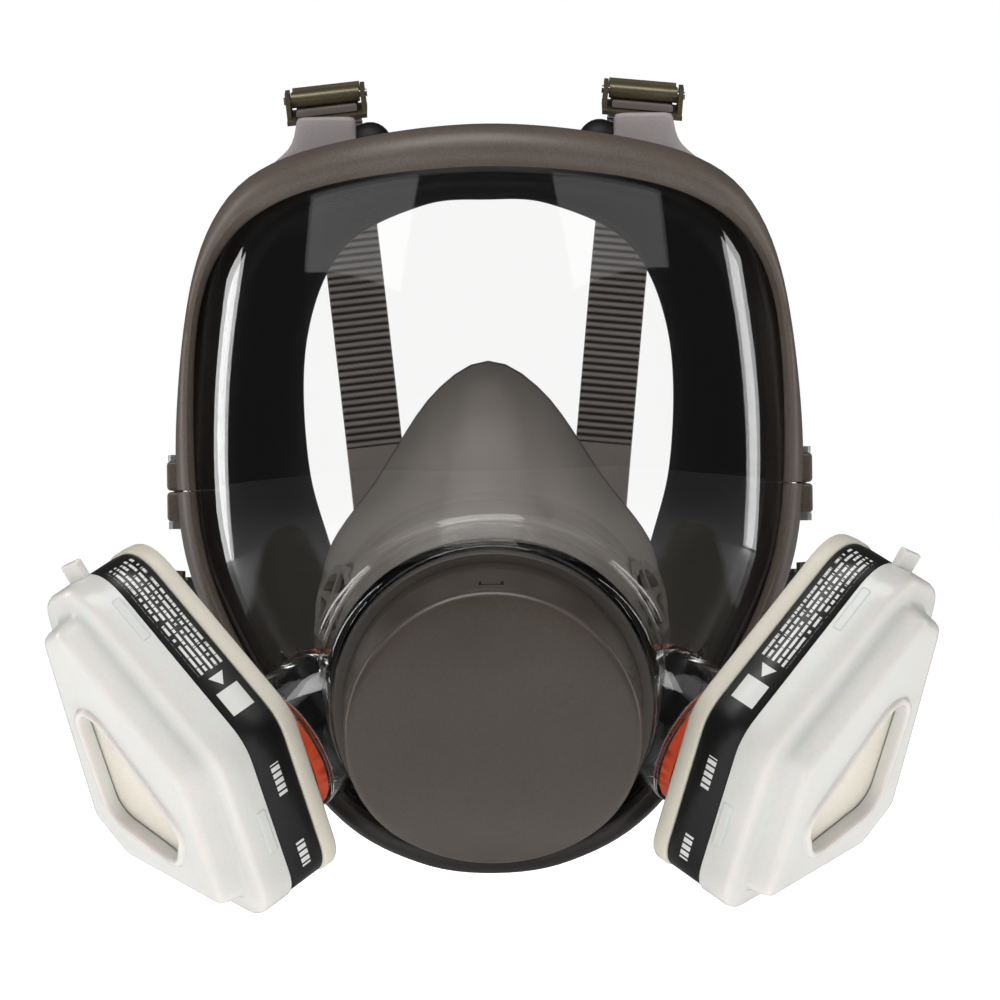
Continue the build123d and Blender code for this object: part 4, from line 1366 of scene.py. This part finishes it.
# %% Clear lens
def clear_lens():
    """Glass-clear plastic that lets the lamps' light through to what is behind it."""
    material = bpy.data.materials.new("clear lens")
    material.use_nodes = True
    tree = material.node_tree
    shader = tree.nodes["Principled BSDF"]
    shader.inputs["Base Color"].default_value = (0.985, 0.985, 0.98, 1)
    shader.inputs["Roughness"].default_value = 0.015
    shader.inputs["IOR"].default_value = 1.45
    shader.inputs["Transmission Weight"].default_value = 1.0
    through = add_node(tree, "BsdfTransparent", Color=(0.97, 0.97, 0.965, 1))
    paths = add_node(tree, "LightPath")
    mix = add_node(tree, "MixShader")
    wire(tree, (paths, "Is Shadow Ray", mix, "Fac"),
         (mix, "Shader", tree.nodes["Material Output"], "Surface"))
    tree.links.new(shader.outputs["BSDF"], mix.inputs[1])
    tree.links.new(through.outputs["BSDF"], mix.inputs[2])
    return material


FINISHES["lens_clear"] = clear_lens()

# %% Give every piece its finish
SLOT_OF = {entry["node"]: entry["material_slot"] for entry in frame["record"]["subparts"]}
for name, node in NODES.items():
    node.data.materials.clear()
    node.data.materials.append(FINISHES[SLOT_OF[name]])
    weld = node.modifiers.new("join", "WELD")
    weld.merge_threshold = 0.00001
dressed = 0
for piece in bpy.context.scene.objects:
    if piece.type == "MESH" and piece.get("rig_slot"):
        piece.data.materials.clear()
        piece.data.materials.append(FINISHES[piece["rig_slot"]])
        dressed += 1
print("dressed", len(NODES), "CAD nodes and", dressed, "modelled pieces")

# %% [markdown]
# ## Light
# A clear lens shows what surrounds it. The boxes in front stand high, above what the lens can
# mirror, and light the mask softly; two tall boxes behind the sides draw the bright lines along
# the lens's edges. The world is white to the camera and through glass, dim as a fill, and dimmer
# still in mirrors. A ray that the lens's inner face has mirrored leaves through glass too, so the
# white is kept for rays with no mirror on their way. The black rubber behind the lens stays black.

# %% Soft boxes
def soft_box(name, place, size, watts):
    """A rectangular lamp aimed at the middle of the mask."""
    light = bpy.data.lights.new(name, "AREA")
    light.shape = "RECTANGLE"
    light.size, light.size_y = size
    light.energy = watts
    lamp = bpy.data.objects.new(name, light)
    lamp.location = place
    lamp.rotation_euler = (-Vector(place)).to_track_quat("-Z", "Y").to_euler()
    bpy.context.scene.collection.objects.link(lamp)
    return lamp


soft_box("box_top", (-0.1, -0.55, 0.95), (0.9, 0.5), 6.5)
soft_box("box_left", (-0.75, -0.6, 0.85), (0.9, 0.9), 2.4)
soft_box("box_right", (0.75, -0.6, 0.85), (0.9, 0.9), 2.0)
soft_box("rim_left", (-1.0, 0.3, 0.1), (0.12, 0.9), 2.2)
soft_box("rim_right", (1.0, 0.25, 0.2), (0.12, 0.7), 1.2)

# %% World
WORLD_FILL = 0.16
MIRRORED_FILL = 0.05
world = bpy.data.worlds.new("white studio")
bpy.context.scene.world = world
world.use_nodes = True
sky = world.node_tree


def sky_math(operation):
    node = add_node(sky, "Math")
    node.operation = operation
    return node


background = sky.nodes["Background"]
background.inputs["Color"].default_value = (1, 1, 1, 1)
seen = add_node(sky, "LightPath")
either = sky_math("MAXIMUM")
strength = add_node(sky, "MapRange", To_Max=1.0)
fill = sky_math("MULTIPLY_ADD")
fill.inputs[1].default_value = MIRRORED_FILL - WORLD_FILL
fill.inputs[2].default_value = WORLD_FILL
unmirrored = sky_math("LESS_THAN")
unmirrored.inputs[1].default_value = 0.5
through_glass = sky_math("MULTIPLY")
for source, output, sink, slot in (
        (seen, "Is Camera Ray", either, 0), (seen, "Glossy Depth", unmirrored, 0),
        (seen, "Is Transmission Ray", through_glass, 0), (unmirrored, "Value", through_glass, 1),
        (through_glass, "Value", either, 1), (seen, "Is Glossy Ray", fill, 0),
        (either, "Value", strength, "Value"), (fill, "Value", strength, "To Min"),
        (strength, "Result", background, "Strength")):
    sky.links.new(source.outputs[output], sink.inputs[slot])
print("world fill:", WORLD_FILL)

# %% [markdown]
# ## Floor and the last line
# The mask is held by the face opening, over a plain white floor that has a little light of its
# own, so it stays white to the horizon. The gap leaves room for a cartridge that is turned off its
# port and for its retainer pulled away.

# %% Floor
FLOOR_GLOW = 0.92
FLOOR_GAP = 0.028
floor_mesh = bpy.data.meshes.new("floor")
bm = bmesh.new()
bmesh.ops.create_grid(bm, x_segments=1, y_segments=1, size=6)
floor_z = cad_low.z - FLOOR_GAP
bmesh.ops.translate(bm, vec=(0, 0, floor_z), verts=bm.verts)
bm.to_mesh(floor_mesh)
bm.free()
floor = bpy.data.objects.new("floor", floor_mesh)
bpy.context.scene.collection.objects.link(floor)
floor_finish = bpy.data.materials.new("white floor")
floor_finish.use_nodes = True
floor_tree = floor_finish.node_tree
floor_shader = floor_tree.nodes["Principled BSDF"]
floor_shader.inputs["Base Color"].default_value = (0.92, 0.92, 0.92, 1)
floor_shader.inputs["Roughness"].default_value = 0.9
floor_shader.inputs["Specular IOR Level"].default_value = 0.1
floor_shader.inputs["Emission Color"].default_value = (1, 1, 1, 1)
floor_seen = add_node(floor_tree, "LightPath")
floor_glow = add_node(floor_tree, "MapRange", To_Min=FLOOR_GLOW, To_Max=0.0)
wire(floor_tree, (floor_seen, "Glossy Depth", floor_glow, "Value"),
     (floor_glow, "Result", floor_shader, "Emission Strength"))
floor_mesh.materials.append(floor_finish)
print("floor at", round(floor_z / MM, 1), "mm")

# %% View transform
bpy.context.scene.view_settings.view_transform = "Standard"
